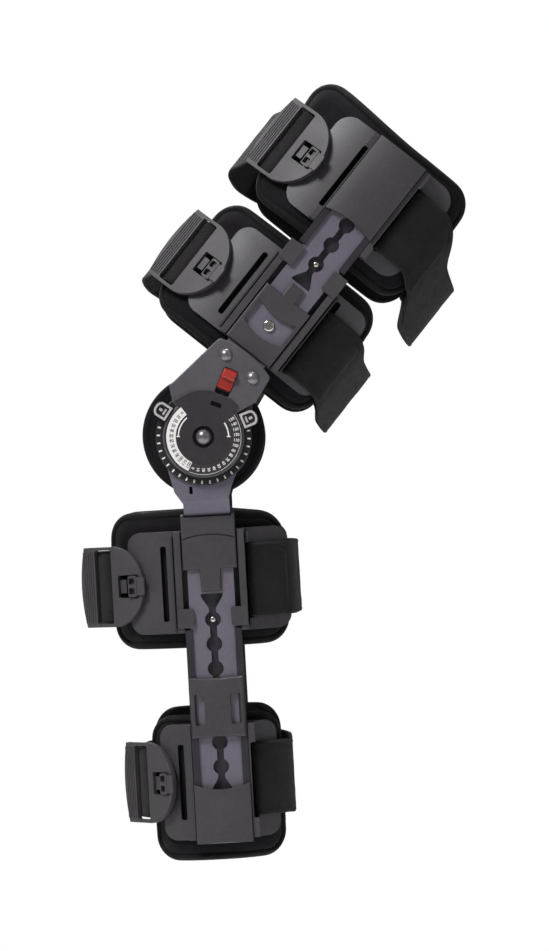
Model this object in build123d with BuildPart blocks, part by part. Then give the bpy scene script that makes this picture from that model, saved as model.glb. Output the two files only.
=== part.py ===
"""Hinged post-operative knee brace, worn on a bent leg.

Frame: millimetres, +Z up.  The origin is on the knee hinge axis, midway between
the lateral (-Y) and the medial (+Y) hinge.  The calf section hangs straight down
(-Z), the front of the knee points to -X and the back of the leg to +X.
Local section coordinates used throughout:
    u  towards the back of the leg
    w  distance from the knee axis, up the thigh or down the calf
    y  distance from the mid plane of the leg
"""
from build123d import *
import math
import os

os.makedirs("parts", exist_ok=True)

# ------------------------------------------------------------------ dimensions
FLEX = 41.4             # knee flexion of the modelled pose, degrees
Y_HINGE = 76.0          # inner face of the hinge back plates from the mid plane
CALF_JOG = 11.0         # the calf struts step in towards the leg by this much
STRUT_W, STRUT_T = 31.0, 3.0
THIGH_UC = -12.3        # centre line of the thigh struts (u)
CALF_UC = -0.8          # centre line of the calf struts (u)
PITCH = 16.5            # pitch of the length-adjustment holes
HOLE_R = 5.3            # adjustment hole radius
NECK_W = 4.6            # width of the necks between the holes
THIGH_HOLE0, THIGH_HOLES = 137.1, 5
CALF_HOLE0, CALF_HOLES = 122.4, 7
THIGH_END, CALF_END = 229.0, 245.0
PLATE_T = 3.0           # wall of the moulded mounts
STRAP_W, STRAP_T = 50.0, 2.4
SLOT_W = 3.9
DIAL_R, RING_R, TAB_R = 26.2, 32.3, 38.0
HEAD_R = 29.5
CONDYLE_R, CONDYLE_T = 41.0, 17.0
BUCKLE_L, BUCKLE_T = 52.0, 3.4

# hinge layers, outwards from Y_HINGE
BACK = (0.0, 2.4)
STRUT = (2.6, 5.6)
RING = (5.8, 7.8)
STOPS = (7.95, 9.5)
COVER = (9.65, 11.8)
DIAL = (11.8, 13.0)

# channel layers relative to the strut's inner face
WEB = (-1.6, -0.2)
LIP = (3.15, 4.6)
WALL_IN = STRUT_W / 2 + 0.15
WALL_OUT = WALL_IN + 3.2

sF, cF = math.sin(math.radians(FLEX)), math.cos(math.radians(FLEX))
THIGH, CALF = True, False
Y_STRUT = {THIGH: Y_HINGE + STRUT[0], CALF: Y_HINGE - CALF_JOG + STRUT[0]}
UC = {THIGH: THIGH_UC, CALF: CALF_UC}

# stations: segment, leg ellipse centre u0, half depth a, half width b, pad
# thickness, pad outline (u0,u1,w0,w1), plate outline, strap w range, buckle angle
STATIONS = {
    "thigh_upper": dict(seg=THIGH, u0=-15.0, a=84.0, b=64.5, tp=9.0,
                        pad=(-85.0, 47.5, 149.5, 238.5), plate=(-61.0, 34.5, 159.0, 232.0),
                        strap=(166.0, 216.0), fslot=(-34.6, 170.0, 220.0), rslot=(12.0, 169.0, 220.0),
                        tip=(-51.0, 191.5), plate_r=12.0, pad_r=18.0),
    "thigh_lower": dict(seg=THIGH, u0=-20.0, a=80.0, b=64.5, tp=9.0,
                        pad=(-90.5, 46.5, 51.0, 139.0), plate=(-68.0, 40.0, 62.5, 131.3),
                        strap=(67.0, 117.0), fslot=(-43.3, 72.0, 123.0), rslot=(15.5, 67.0, 127.0),
                        tip=(-57.0, 91.5), plate_r=10.0, pad_r=17.0),
    "calf_upper": dict(seg=CALF, u0=-5.0, a=62.0, b=53.5, tp=9.0,
                       pad=(-72.3, 54.0, 49.4, 140.0), plate=(-56.3, 52.2, 62.0, 131.0),
                       strap=(72.5, 122.5), fslot=(-32.0, 72.0, 123.0), rslot=(25.2, 72.0, 123.0),
                       tip=(-44.8, 97.8), plate_r=9.0, pad_r=17.0),
    "calf_lower": dict(seg=CALF, u0=-5.0, a=47.0, b=49.5, tp=13.0,
                       pad=(-52.0, 45.2, 188.0, 284.0), plate=(-41.4, 37.3, 192.5, 270.5),
                       strap=(206.0, 256.0), fslot=(-27.5, 206.0, 257.0), rslot=(21.5, 206.0, 257.0),
                       tip=(-31.6, 231.5), plate_r=9.0, pad_r=16.0),
}
for s in STATIONS.values():
    s["Ap"], s["Bp"] = s["a"] + s["tp"], s["b"] + s["tp"]            # pad outer face
    s["Ai"], s["Bi"] = s["Ap"] + 0.25, s["Bp"] + 0.25                # plate inner face
    s["Ao"], s["Bo"] = s["Ai"] + PLATE_T, s["Bi"] + PLATE_T          # plate outer face


# ------------------------------------------------------------------ helpers
def side_plane(seg, y):
    """Plane parallel to the brace's side at distance y, facing outwards (-Y)."""
    return Plane(origin=(0, -y, 0), x_dir=(cF, 0, -sF) if seg else (1, 0, 0), z_dir=(0, -1, 0))


def cross_plane(seg, w):
    """Plane square to the segment's axis at distance w, local x = u, local y = +Y."""
    if seg:
        return Plane(origin=(sF * w, 0, cF * w), x_dir=(cF, 0, -sF), z_dir=(sF, 0, cF))
    return Plane(origin=(0, 0, -w), x_dir=(1, 0, 0), z_dir=(0, 0, -1))


def sp(seg, u, w):
    """Side-plane sketch point."""
    return (u, w) if seg else (u, -w)


def cp(seg, u, y):
    """Cross-plane sketch point; y is positive towards the lateral side."""
    return (u, -y) if seg else (u, y)


def rect_pts(u0, u1, w0, w1):
    return [(u0, w0), (u1, w0), (u1, w1), (u0, w1)]


def slab(seg, y0, y1, pts, r=0.0, mode=Mode.ADD):
    """Extrude a closed side-view outline between two distances from the mid plane."""
    with BuildSketch(side_plane(seg, y0)) as sk:
        with BuildLine():
            Polyline(*[sp(seg, *p) for p in pts], close=True)
        make_face()
        if r:
            fillet(sk.vertices(), r)
    extrude(sk.sketch, amount=y1 - y0, mode=mode)


def ring_body(seg, s, inner, outer, w0, w1, mode=Mode.ADD):
    """Elliptical sleeve (inner/outer are (a, b) half axes) between w0 and w1."""
    with BuildSketch(cross_plane(seg, w0)) as sk:
        with Locations(cp(seg, s["u0"], 0)):
            Ellipse(*outer)
            if inner:
                Ellipse(*inner, mode=Mode.SUBTRACT)
    extrude(sk.sketch, amount=w1 - w0, mode=mode)


def soften(builder, edges, radius):
    """Fillet what can be filleted at the given radius or a smaller one."""
    for k in (1.0, 0.6, 0.35):
        try:
            fillet(edges, radius * k)
            return
        except Exception:
            continue


def hull(points):
    pts = sorted(set((round(x, 4), round(y, 4)) for x, y in points))

    def half(seq):
        out = []
        for p in seq:
            while len(out) > 1 and ((out[-1][0] - out[-2][0]) * (p[1] - out[-2][1])
                                    - (out[-1][1] - out[-2][1]) * (p[0] - out[-2][0])) <= 0:
                out.pop()
            out.append(p)
        return out
    lo, hi = half(pts), half(reversed(pts))
    return lo[:-1] + hi[:-1]


def ell(s, grow_a, grow_b, x):
    """Half width of the ellipse (a + grow_a, b + grow_b) at u = x."""
    A, B = s["a"] + grow_a, s["b"] + grow_b
    return B * math.sqrt(max(0.0, 1 - ((x - s["u0"]) / A) ** 2))


def offset_open(path, d):
    """Offset of an open path to its left by d."""
    out = []
    for i, p in enumerate(path):
        a, b = path[max(i - 1, 0)], path[min(i + 1, len(path) - 1)]
        tx, ty = b[0] - a[0], b[1] - a[1]
        n = math.hypot(tx, ty)
        out.append((p[0] - ty / n * d, p[1] + tx / n * d))
    return out


def thin(path, gap):
    out = [path[0]]
    for q, p, r in zip(path, path[1:], path[2:]):
        turn = abs(math.degrees(math.atan2(p[1] - q[1], p[0] - q[0]) - math.atan2(r[1] - p[1], r[0] - p[0])))
        corner = min(turn, 360 - turn) > 6 and math.dist(p, out[-1]) > 0.8
        if corner or (math.dist(p, out[-1]) >= gap and math.dist(p, path[-1]) >= gap * 0.6):
            out.append(p)
    return out + [path[-1]]


def wrap_points(s):
    """Outline that a tight strap lies on: leg, pads and plates of both sides."""
    pts = []
    for k in range(0, 361, 3):
        t = math.radians(k)
        pts.append((s["u0"] + s["a"] * math.cos(t), s["b"] * math.sin(t)))
    for lo, hi, ga, gb in ((s["pad"][0], s["pad"][1], s["tp"], s["tp"]),
                           (s["plate"][0], s["plate"][1], s["tp"] + 3.25, s["tp"] + 3.25)):
        for i in range(41):
            x = lo + (hi - lo) * i / 40
            y = ell(s, ga, gb, x)
            pts += [(x, y), (x, -y)]
    return pts


def strap_band(seg, s, path, w0, w1):
    """Closed band of webbing along an open path in the cross-section."""
    path = thin(path, 5.0)
    outer = offset_open(path, STRAP_T / 2)
    inner = offset_open(path, -STRAP_T / 2)
    with BuildSketch(cross_plane(seg, w0)) as sk:
        with BuildLine():
            Polyline(*[cp(seg, *p) for p in outer + inner[::-1]], close=True)
        make_face()
    extrude(sk.sketch, amount=w1 - w0)


def buckle_frame(s):
    """Buckle plate position: tip point, direction t along it, outward normal n."""
    span = {"thigh_upper": 44.0, "thigh_lower": 43.0, "calf_upper": 43.0, "calf_lower": 33.5}[s["name"]]
    beta = math.acos(span / BUCKLE_L)
    t = (-math.cos(beta), -math.sin(beta))          # (u, y): forwards and towards the mid plane
    n = (-math.sin(beta), math.cos(beta))           # outwards
    # inner face clears the front edge of the wing plate
    uc = s["plate"][0]
    yc = ell(s, s["tp"] + 3.25, s["tp"] + 3.25, uc)
    d = uc * n[0] + yc * n[1] + 0.8
    tu = s["tip"][0]
    ty = (d - tu * n[0]) / n[1]
    return (tu, ty), t, n, beta


for name, s in STATIONS.items():
    s["name"] = name
    tip, t, n, beta = buckle_frame(s)
    s["btip"], s["bt"], s["bn"], s["beta"] = tip, t, n, beta
    # strap bar axis, in the (u, y) section, y positive outwards (lateral)
    s["bar"] = (tip[0] + t[0] * 46.0 + n[0] * BUCKLE_T / 2, tip[1] + t[1] * 46.0 + n[1] * BUCKLE_T / 2)


def buckle_plane(s, lift=0.0):
    """Sketch plane of a buckle: x runs from the latch tip to the strap bar."""
    seg = s["seg"]
    (tu, ty), t, n = s["btip"], s["bt"], s["bn"]
    wc = s["tip"][1]

    def world(u, y, w):
        if seg:
            return (u * cF + w * sF, -y, -u * sF + w * cF)
        return (u, -y, -w)

    def vec(u, y):
        return (u * cF, -y, -u * sF) if seg else (u, -y, 0)
    o = world(tu + n[0] * lift, ty + n[1] * lift, wc)
    return Plane(origin=o, x_dir=vec(*t), z_dir=vec(*n))


# ------------------------------------------------------------------ hinge
def polar(r, deg):
    return (r * math.cos(math.radians(deg)), r * math.sin(math.radians(deg)))


COVER_PTS = [(-32.6, 58.6), (10.6, 58.6), (13.2, 40.0), (6.2, 22.0), (0, 0), (-24.0, 4.0), (-30.6, 5.4), (-39.2, 12.4)]
LOCK_DEG = 105.6          # radial direction of the drop lock in the thigh frame
LOCK_R = 39.6
RIVETS = [(-22.0, 52.2), (1.4, 51.0)]

with BuildPart() as hinge_cover_lateral:
    # cover plate: tab with the two rivets running into the round dial housing
    with BuildSketch(side_plane(THIGH, Y_HINGE + COVER[0])) as sk:
        with BuildLine():
            ThreePointArc(COVER_PTS[0], (-11.0, 62.2), COVER_PTS[1])
            Polyline(*COVER_PTS[1:], COVER_PTS[0])
        make_face()
        fillet([v for v in sk.vertices() if v.Y > 38 and v.X < -20 or v.Y > 38 and v.X > 9], 3.0)
        fillet([v for v in sk.vertices() if abs(v.X + 39.2) < 0.1], 2.5)
        Circle(DIAL_R + 1.0)
    extrude(amount=COVER[1] - COVER[0])
    soften(hinge_cover_lateral, hinge_cover_lateral.faces().sort_by(Axis.Y)[0].edges(), 0.8)
    # skirt below the tab: solid down to the strut, clear of the stop tabs
    with BuildSketch(side_plane(THIGH, Y_HINGE + STRUT[1] + 0.1)) as sk:
        with BuildLine():
            Polyline((-31.5, 57.6), (9.8, 57.6), (11.8, 42.0), (9.5, 39.9), (-35.6, 39.9), close=True)
        make_face()
        fillet(sk.vertices(), 1.5)
    extrude(amount=COVER[0] - STRUT[1])
    # well of the dial
    with Locations(side_plane(THIGH, Y_HINGE + COVER[1] + 1.0)):
        Cylinder(DIAL_R + 0.15, 1.0 + 0.0, align=(Align.CENTER, Align.CENTER, Align.MIN), mode=Mode.SUBTRACT)
        Cylinder(DIAL_R + 0.15, 1.0, align=(Align.CENTER, Align.CENTER, Align.MAX), mode=Mode.SUBTRACT)
    with Locations(side_plane(THIGH, Y_HINGE + COVER[0])):
        Cylinder(6.6, 8.0, mode=Mode.SUBTRACT)
    # slanted window and the pocket of the drop lock
    with BuildSketch(side_plane(THIGH, Y_HINGE + STRUT[1])):
        with Locations(Location((*polar(LOCK_R, LOCK_DEG), 0), (0, 0, LOCK_DEG))):
            RectangleRounded(18.6, 10.2, 1.6)
    extrude(amount=12, mode=Mode.SUBTRACT)
    with BuildSketch(side_plane(THIGH, Y_HINGE + STRUT[1])):
        with Locations(Location((*polar(LOCK_R + 1.4, LOCK_DEG), 0), (0, 0, LOCK_DEG))):
            Rectangle(25.0, 12.8)
    extrude(amount=COVER[0] - STRUT[1], mode=Mode.SUBTRACT)
    # rivet holes
    for p in RIVETS:
        with BuildSketch(side_plane(THIGH, Y_HINGE + STRUT[1])):
            with Locations(p):
                Circle(2.05)
        extrude(amount=12, mode=Mode.SUBTRACT)

with BuildPart() as range_dials:
    # printed scale disc with a dished centre, one per hinge
    with BuildSketch(side_plane(THIGH, Y_HINGE + DIAL[0])):
        Circle(DIAL_R)
        Circle(3.1, mode=Mode.SUBTRACT)
    extrude(amount=DIAL[1] - DIAL[0])
    # its upper half is wider and lies on the cover
    with BuildSketch(side_plane(THIGH, Y_HINGE + DIAL[0] + 0.1)):
        Circle(31.0)
        with BuildLine():
            Polyline((0, 0), polar(90, 168.5), (-90, -90), (90, -90), (90, 90), polar(90, 79.0), close=True)
        make_face(mode=Mode.SUBTRACT)
        Circle(DIAL_R - 1.0)
        with Locations(Location((*polar(LOCK_R, LOCK_DEG), 0), (0, 0, LOCK_DEG))):
            RectangleRounded(19.4, 11.0, 1.6, mode=Mode.SUBTRACT)
        Circle(3.1, mode=Mode.SUBTRACT)
    extrude(amount=DIAL[1] - DIAL[0] - 0.1)
    soften(range_dials, range_dials.faces().sort_by(Axis.Y)[0].edges().sort_by(SortBy.LENGTH)[-1:], 0.6)
    with BuildSketch(side_plane(THIGH, Y_HINGE + DIAL[1] - 0.8)):
        Circle(7.3)
    extrude(amount=2.0, mode=Mode.SUBTRACT)
    # index slot
    with BuildSketch(side_plane(THIGH, Y_HINGE + DIAL[0] - 0.2)):
        with Locations(Location((*polar(23.2, 107.0), 0), (0, 0, 107.0))):
            Rectangle(2.9, 7.4)
    extrude(amount=3.0, mode=Mode.SUBTRACT)
    mirror(about=Plane.XZ)

with BuildPart() as tick_rings:
    # degree ring between the strut head and the stops
    with BuildSketch(side_plane(THIGH, Y_HINGE + RING[0])):
        Circle(RING_R)
        Circle(3.1, mode=Mode.SUBTRACT)
    extrude(amount=RING[1] - RING[0])
    soften(tick_rings, tick_rings.faces().sort_by(Axis.Y)[0].edges().sort_by(SortBy.LENGTH)[-1:], 0.7)
    mirror(about=Plane.XZ)

with BuildPart() as hinge_back_plates:
    with BuildSketch(side_plane(THIGH, Y_HINGE + BACK[0])) as sk:
        with BuildLine():
            Polyline((-31.0, 57.0), (7.5, 57.0), (10.5, 40.0), (28.0, 14.0), (0, 0), (-30.0, 8.0), close=True)
        make_face()
        Circle(RING_R)
        Circle(3.1, mode=Mode.SUBTRACT)
        for p in RIVETS:
            with Locations(p):
                Circle(2.05, mode=Mode.SUBTRACT)
    extrude(amount=BACK[1] - BACK[0])
    mirror(about=Plane.XZ)

def dome(y, p, r, h):
    """Domed rivet head standing on the plane at distance y."""
    R = (r * r + h * h) / (2 * h)
    base = side_plane(THIGH, y).location
    with BuildPart(mode=Mode.PRIVATE) as d:
        with Locations(base * Location((p[0], p[1], h - R))):
            Sphere(R)
        with Locations(base * Location((p[0], p[1], 0))):
            Cylinder(R + 2, h + 1, align=(Align.CENTER, Align.CENTER, Align.MIN), mode=Mode.INTERSECT)
    return d.part


with BuildPart() as pivot_rivets:
    # shouldered rivet through back plate, strut head, ring and dial, domed head
    with BuildSketch(side_plane(THIGH, Y_HINGE + BACK[0])):
        Circle(3.05)
    extrude(amount=DIAL[1] - 0.8 - BACK[0])
    add(dome(Y_HINGE + DIAL[1] - 0.8, (0, 0), 5.1, 3.0))
    mirror(about=Plane.XZ)

with BuildPart() as cover_rivets:
    # two domed rivets per hinge clamp cover, thigh strut and back plate
    for p in RIVETS:
        with BuildSketch(side_plane(THIGH, Y_HINGE + BACK[0])):
            with Locations(p):
                Circle(2.0)
        extrude(amount=COVER[1] - BACK[0])
        add(dome(Y_HINGE + COVER[1], p, 4.5, 2.6))
    mirror(about=Plane.XZ)


def stop_part(deg):
    """Stop: collar segment under the dial cover with a D-shaped tab outside."""
    with BuildPart() as stop:
        with BuildSketch(side_plane(THIGH, Y_HINGE + STOPS[0])):
            with BuildLine():
                CenterArc((0, 0), 25.9, deg - 26, 52)
                Line(polar(25.9, deg + 26), polar(20.5, deg + 26))
                CenterArc((0, 0), 20.5, deg + 26, -52)
                Line(polar(20.5, deg - 26), polar(25.9, deg - 26))
            make_face()
            with Locations(Location((*polar(29.0, deg), 0), (0, 0, deg))):
                Rectangle(8.0, 9.6)
        extrude(amount=STOPS[1] - STOPS[0])
        with BuildSketch(side_plane(THIGH, Y_HINGE + STOPS[0])):
            with Locations(Location((*polar(31.2, deg), 0), (0, 0, deg))):
                Rectangle(7.6, 10.6)
            with Locations(polar(34.9, deg)):
                Ellipse(4.0, 5.3, rotation=deg)
        extrude(amount=4.6)
        soften(stop, stop.faces().sort_by(Axis.Y)[0].edges(), 0.6)
        # grip recess
        with BuildSketch(side_plane(THIGH, Y_HINGE + STOPS[0] + 3.8)):
            with Locations(Location((*polar(33.0, deg), 0), (0, 0, deg))):
                RectangleRounded(6.2, 6.4, 2.0)
        extrude(amount=3.0, mode=Mode.SUBTRACT)
    return stop


extension_stop_lateral = stop_part(185.6)
flexion_stop_lateral = stop_part(60.2)

with BuildPart() as drop_lock_lateral:
    # sliding lock: foot under the cover, thumb piece with a rounded rib
    lp = side_plane(THIGH, Y_HINGE + STRUT[1] + 2.35)
    with BuildSketch(lp):
        with Locations(Location((*polar(LOCK_R + 1.9, LOCK_DEG), 0), (0, 0, LOCK_DEG))):
            Rectangle(15.0, 12.2)
    extrude(amount=1.5)
    with BuildSketch(lp):
        with Locations(Location((*polar(LOCK_R + 1.9, LOCK_DEG), 0), (0, 0, LOCK_DEG))):
            RectangleRounded(13.6, 9.6, 1.2)
    extrude(amount=4.6)
    with BuildSketch(lp.offset(4.6)):
        with Locations(Location((*polar(LOCK_R + 4.8, LOCK_DEG), 0), (0, 0, LOCK_DEG))):
            RectangleRounded(5.4, 9.6, 1.2)
    extrude(amount=2.6)
    soften(drop_lock_lateral, drop_lock_lateral.faces().sort_by(Axis.Y)[0].edges(), 1.2)
    with BuildSketch(lp.offset(4.2)):
        for k in range(3):
            with Locations(Location((*polar(LOCK_R - 2.9 + k * 1.7, LOCK_DEG), 0), (0, 0, LOCK_DEG))):
                Rectangle(0.7, 9.8)
    extrude(amount=2.0, mode=Mode.SUBTRACT)

with BuildPart() as condyle_pads:
    # thick round foam pads against the sides of the knee
    with BuildSketch(side_plane(THIGH, Y_HINGE - CONDYLE_T)):
        with Locations((-1.0, 1.0)):
            Circle(CONDYLE_R)
    extrude(amount=CONDYLE_T - 0.3)
    soften(condyle_pads, condyle_pads.edges().filter_by(GeomType.CIRCLE), 5.0)
    mirror(about=Plane.XZ)


# ------------------------------------------------------------------ struts
def hole_chain(seg, y0, y1, first, count, uc, flare_end):
    """Row of round adjustment holes joined by necks, flared at its ends."""
    with BuildSketch(side_plane(seg, y0)) as sk:
        for k in range(count):
            with Locations(sp(seg, uc, first + k * PITCH)):
                Circle(HOLE_R)
        w_a, w_b = first, first + (count - 1) * PITCH
        with Locations(sp(seg, uc, (w_a + w_b + (0 if flare_end else -6)) / 2)):
            Rectangle(NECK_W, w_b - w_a + (24 if flare_end else 12))
        ends = [(w_a - 7.5, w_a - 17.4)] + ([(w_b + 7.5, w_b + 17.4)] if flare_end else [])
        for near, far in ends:
            back = far + (2.0 if far < near else -2.0)
            with BuildLine():
                Polyline(sp(seg, uc - 2.3, near), sp(seg, uc + 2.3, near), sp(seg, uc + 7.2, back),
                         sp(seg, uc + 7.2, far), sp(seg, uc - 7.2, far), sp(seg, uc - 7.2, back), close=True)
            make_face()
    extrude(sk.sketch, amount=y1 - y0, mode=Mode.SUBTRACT)


with BuildPart() as thigh_strut_lateral:
    y0 = Y_STRUT[THIGH]
    with BuildSketch(side_plane(THIGH, y0)) as sk:
        with BuildLine():
            Polyline(*rect_pts(THIGH_UC - STRUT_W / 2, THIGH_UC + STRUT_W / 2, 44.0, THIGH_END), close=True)
        make_face()
        fillet(sk.vertices(), 3.0)
        for p in RIVETS:
            with Locations(p):
                Circle(2.05, mode=Mode.SUBTRACT)
        with Locations((-11.7, 85.2)):
            Circle(2.05, mode=Mode.SUBTRACT)
    extrude(amount=STRUT_T)
    hole_chain(THIGH, y0 - 1, y0 + STRUT_T + 1, THIGH_HOLE0, THIGH_HOLES, THIGH_UC, True)

with BuildPart() as calf_strut_lateral:
    # strut with a round head in the hinge and a step towards the leg
    yh, yc = Y_STRUT[CALF] + CALF_JOG, Y_STRUT[CALF]
    uc = CALF_UC
    with BuildSketch(Plane(origin=(uc + 40, 0, 0), x_dir=(0, -1, 0), z_dir=(-1, 0, 0))):
        with BuildLine():
            Polyline((yh, 32.0), (yh + STRUT_T, 32.0), (yh + STRUT_T, -42.4), (yc + STRUT_T, -53.2),
                     (yc + STRUT_T, -CALF_END), (yc, -CALF_END), (yc, -52.0), (yh, -41.2), close=True)
        make_face()
    extrude(amount=80)
    with BuildSketch(side_plane(CALF, 0)) as sk:
        with BuildLine():
            Polyline(sp(CALF, -29.0, 5), sp(CALF, -21.6, 36), sp(CALF, uc - STRUT_W / 2, 44), sp(CALF, uc - STRUT_W / 2, CALF_END),
                     sp(CALF, uc + STRUT_W / 2, CALF_END), sp(CALF, uc + STRUT_W / 2, 40), sp(CALF, 17.0, 33), sp(CALF, 29.0, 5), close=True)
        make_face()
        fillet([v for v in sk.vertices() if v.Y < -200], 3.0)
        Circle(HEAD_R)
        Circle(3.1, mode=Mode.SUBTRACT)
        # lock notch in the shoulder below the dial
        with BuildLine():
            Polyline(sp(CALF, -11.6, 32.6), sp(CALF, -9.4, 32.6), sp(CALF, -9.4, 37.6), sp(CALF, -11.6, 37.6), close=True)
        make_face(mode=Mode.SUBTRACT)
    extrude(amount=120, mode=Mode.INTERSECT)
    hole_chain(CALF, yc - 1, yc + STRUT_T + 1, CALF_HOLE0, CALF_HOLES, uc, True)

with BuildPart() as thigh_strut_screws:
    for side in (0,):
        with BuildSketch(side_plane(THIGH, Y_STRUT[THIGH])):
            with Locations((-11.7, 85.2)):
                Circle(2.0)
        extrude(amount=STRUT_T)
        with BuildSketch(side_plane(THIGH, Y_STRUT[THIGH] + STRUT_T)):
            with Locations((-11.7, 85.2)):
                Circle(4.0)
        extrude(amount=1.9)
        soften(thigh_strut_screws, thigh_strut_screws.faces().sort_by(Axis.Y)[0].edges(), 1.5)
        with BuildSketch(side_plane(THIGH, Y_STRUT[THIGH] + STRUT_T + 1.2)):
            with Locations((-11.7, 85.2)):
                Rectangle(1.0, 5.2, rotation=20)
        extrude(amount=2, mode=Mode.SUBTRACT)
    mirror(about=Plane.XZ)


def channel(seg, w_web, w_wall, w_end, button_w):
    """C channel that slides along the strut: web behind it, lips in front."""
    y0 = Y_STRUT[seg]
    uc = UC[seg]
    with BuildPart() as ch:
        slab(seg, y0 + WEB[0], y0 + WEB[1], rect_pts(uc - WALL_OUT, uc + WALL_OUT, w_wall, w_end))
        slab(seg, y0 + WEB[0], y0 + WEB[1], rect_pts(uc - 9.0, uc + 9.0, w_web, w_wall + 1))
        for sgn in (-1, 1):
            lo, hi = sorted((uc + sgn * WALL_IN, uc + sgn * WALL_OUT))
            slab(seg, y0 + WEB[0], y0 + LIP[1], rect_pts(lo, hi, w_wall, w_end))
            lo, hi = sorted((uc + sgn * (WALL_IN - 1.5), uc + sgn * (WALL_IN + 1)))
            slab(seg, y0 + LIP[0], y0 + LIP[1], rect_pts(lo, hi, w_wall, w_end))
        # button bore
        with BuildSketch(side_plane(seg, y0 + WEB[0] - 1)):
            with Locations(sp(seg, uc, button_w)):
                Circle(2.12)
        extrude(amount=4, mode=Mode.SUBTRACT)
    return ch


thigh_channel_lateral = channel(THIGH, 129.5, 143.0, 230.0, THIGH_HOLE0)
calf_channel_lateral = channel(CALF, 114.5, 129.0, 270.0, CALF_HOLE0)


def button(seg, w):
    """Spring pin of the length adjustment, standing in a strut hole."""
    y0 = Y_STRUT[seg]
    with BuildPart() as b:
        with BuildSketch(side_plane(seg, y0 - 0.4)):
            with Locations(sp(seg, UC[seg], w)):
                Circle(2.05)
        extrude(amount=3.8)
        soften(b, b.faces().sort_by(Axis.Y)[0].edges(), 1.4)
    return b


# ------------------------------------------------------------------ mounts
def buckle_post(s):
    """Catch post that stands in the buckle's latch window."""
    with BuildSketch(buckle_plane(s, lift=-7.0)) as sk:
        with Locations((17.6, 0)):
            Rectangle(5.0, 9.0)
    extrude(sk.sketch, amount=7.0 + 1.9)
    # tongue of the wing that carries the post
    wc = s["tip"][1]
    with BuildPart(mode=Mode.PRIVATE) as tongue:
        ring_body(s["seg"], s, (s["Ai"], s["Bi"]), (s["Ao"], s["Bo"]), wc - 4.5, wc + 4.5)
        slab(s["seg"], 0, 120, rect_pts(s["tip"][0] - 20.0 * math.cos(s["beta"]), s["plate"][0] + 5, wc - 4.5, wc + 4.5),
             mode=Mode.INTERSECT)
    add(tongue.part)


def wing_plate(s, buckled):
    seg = s["seg"]
    u0, u1, w0, w1 = s["plate"]
    ring_body(seg, s, (s["Ai"], s["Bi"]), (s["Ao"], s["Bo"]), w0 - 1, w1 + 1)
    slab(seg, 0, 120, rect_pts(u0, u1, w0, w1), r=s["plate_r"], mode=Mode.INTERSECT)


def strap_slots(s):
    seg = s["seg"]
    for su, w0, w1 in (s["fslot"], s["rslot"]):
        slab(seg, 0, 120, rect_pts(su - SLOT_W / 2, su + SLOT_W / 2, w0, w1), r=1.5, mode=Mode.SUBTRACT)


def crown(seg, uc, y_top):
    """Leave only what lies under a shallow cylinder along the segment."""
    R = (WALL_OUT ** 2 + 2.4 ** 2) / 4.8
    with BuildSketch(cross_plane(seg, 120.0)) as sk:
        with Locations(cp(seg, uc, y_top - R)):
            Circle(R)
    extrude(sk.sketch, amount=200.0, mode=Mode.INTERSECT)


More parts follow.
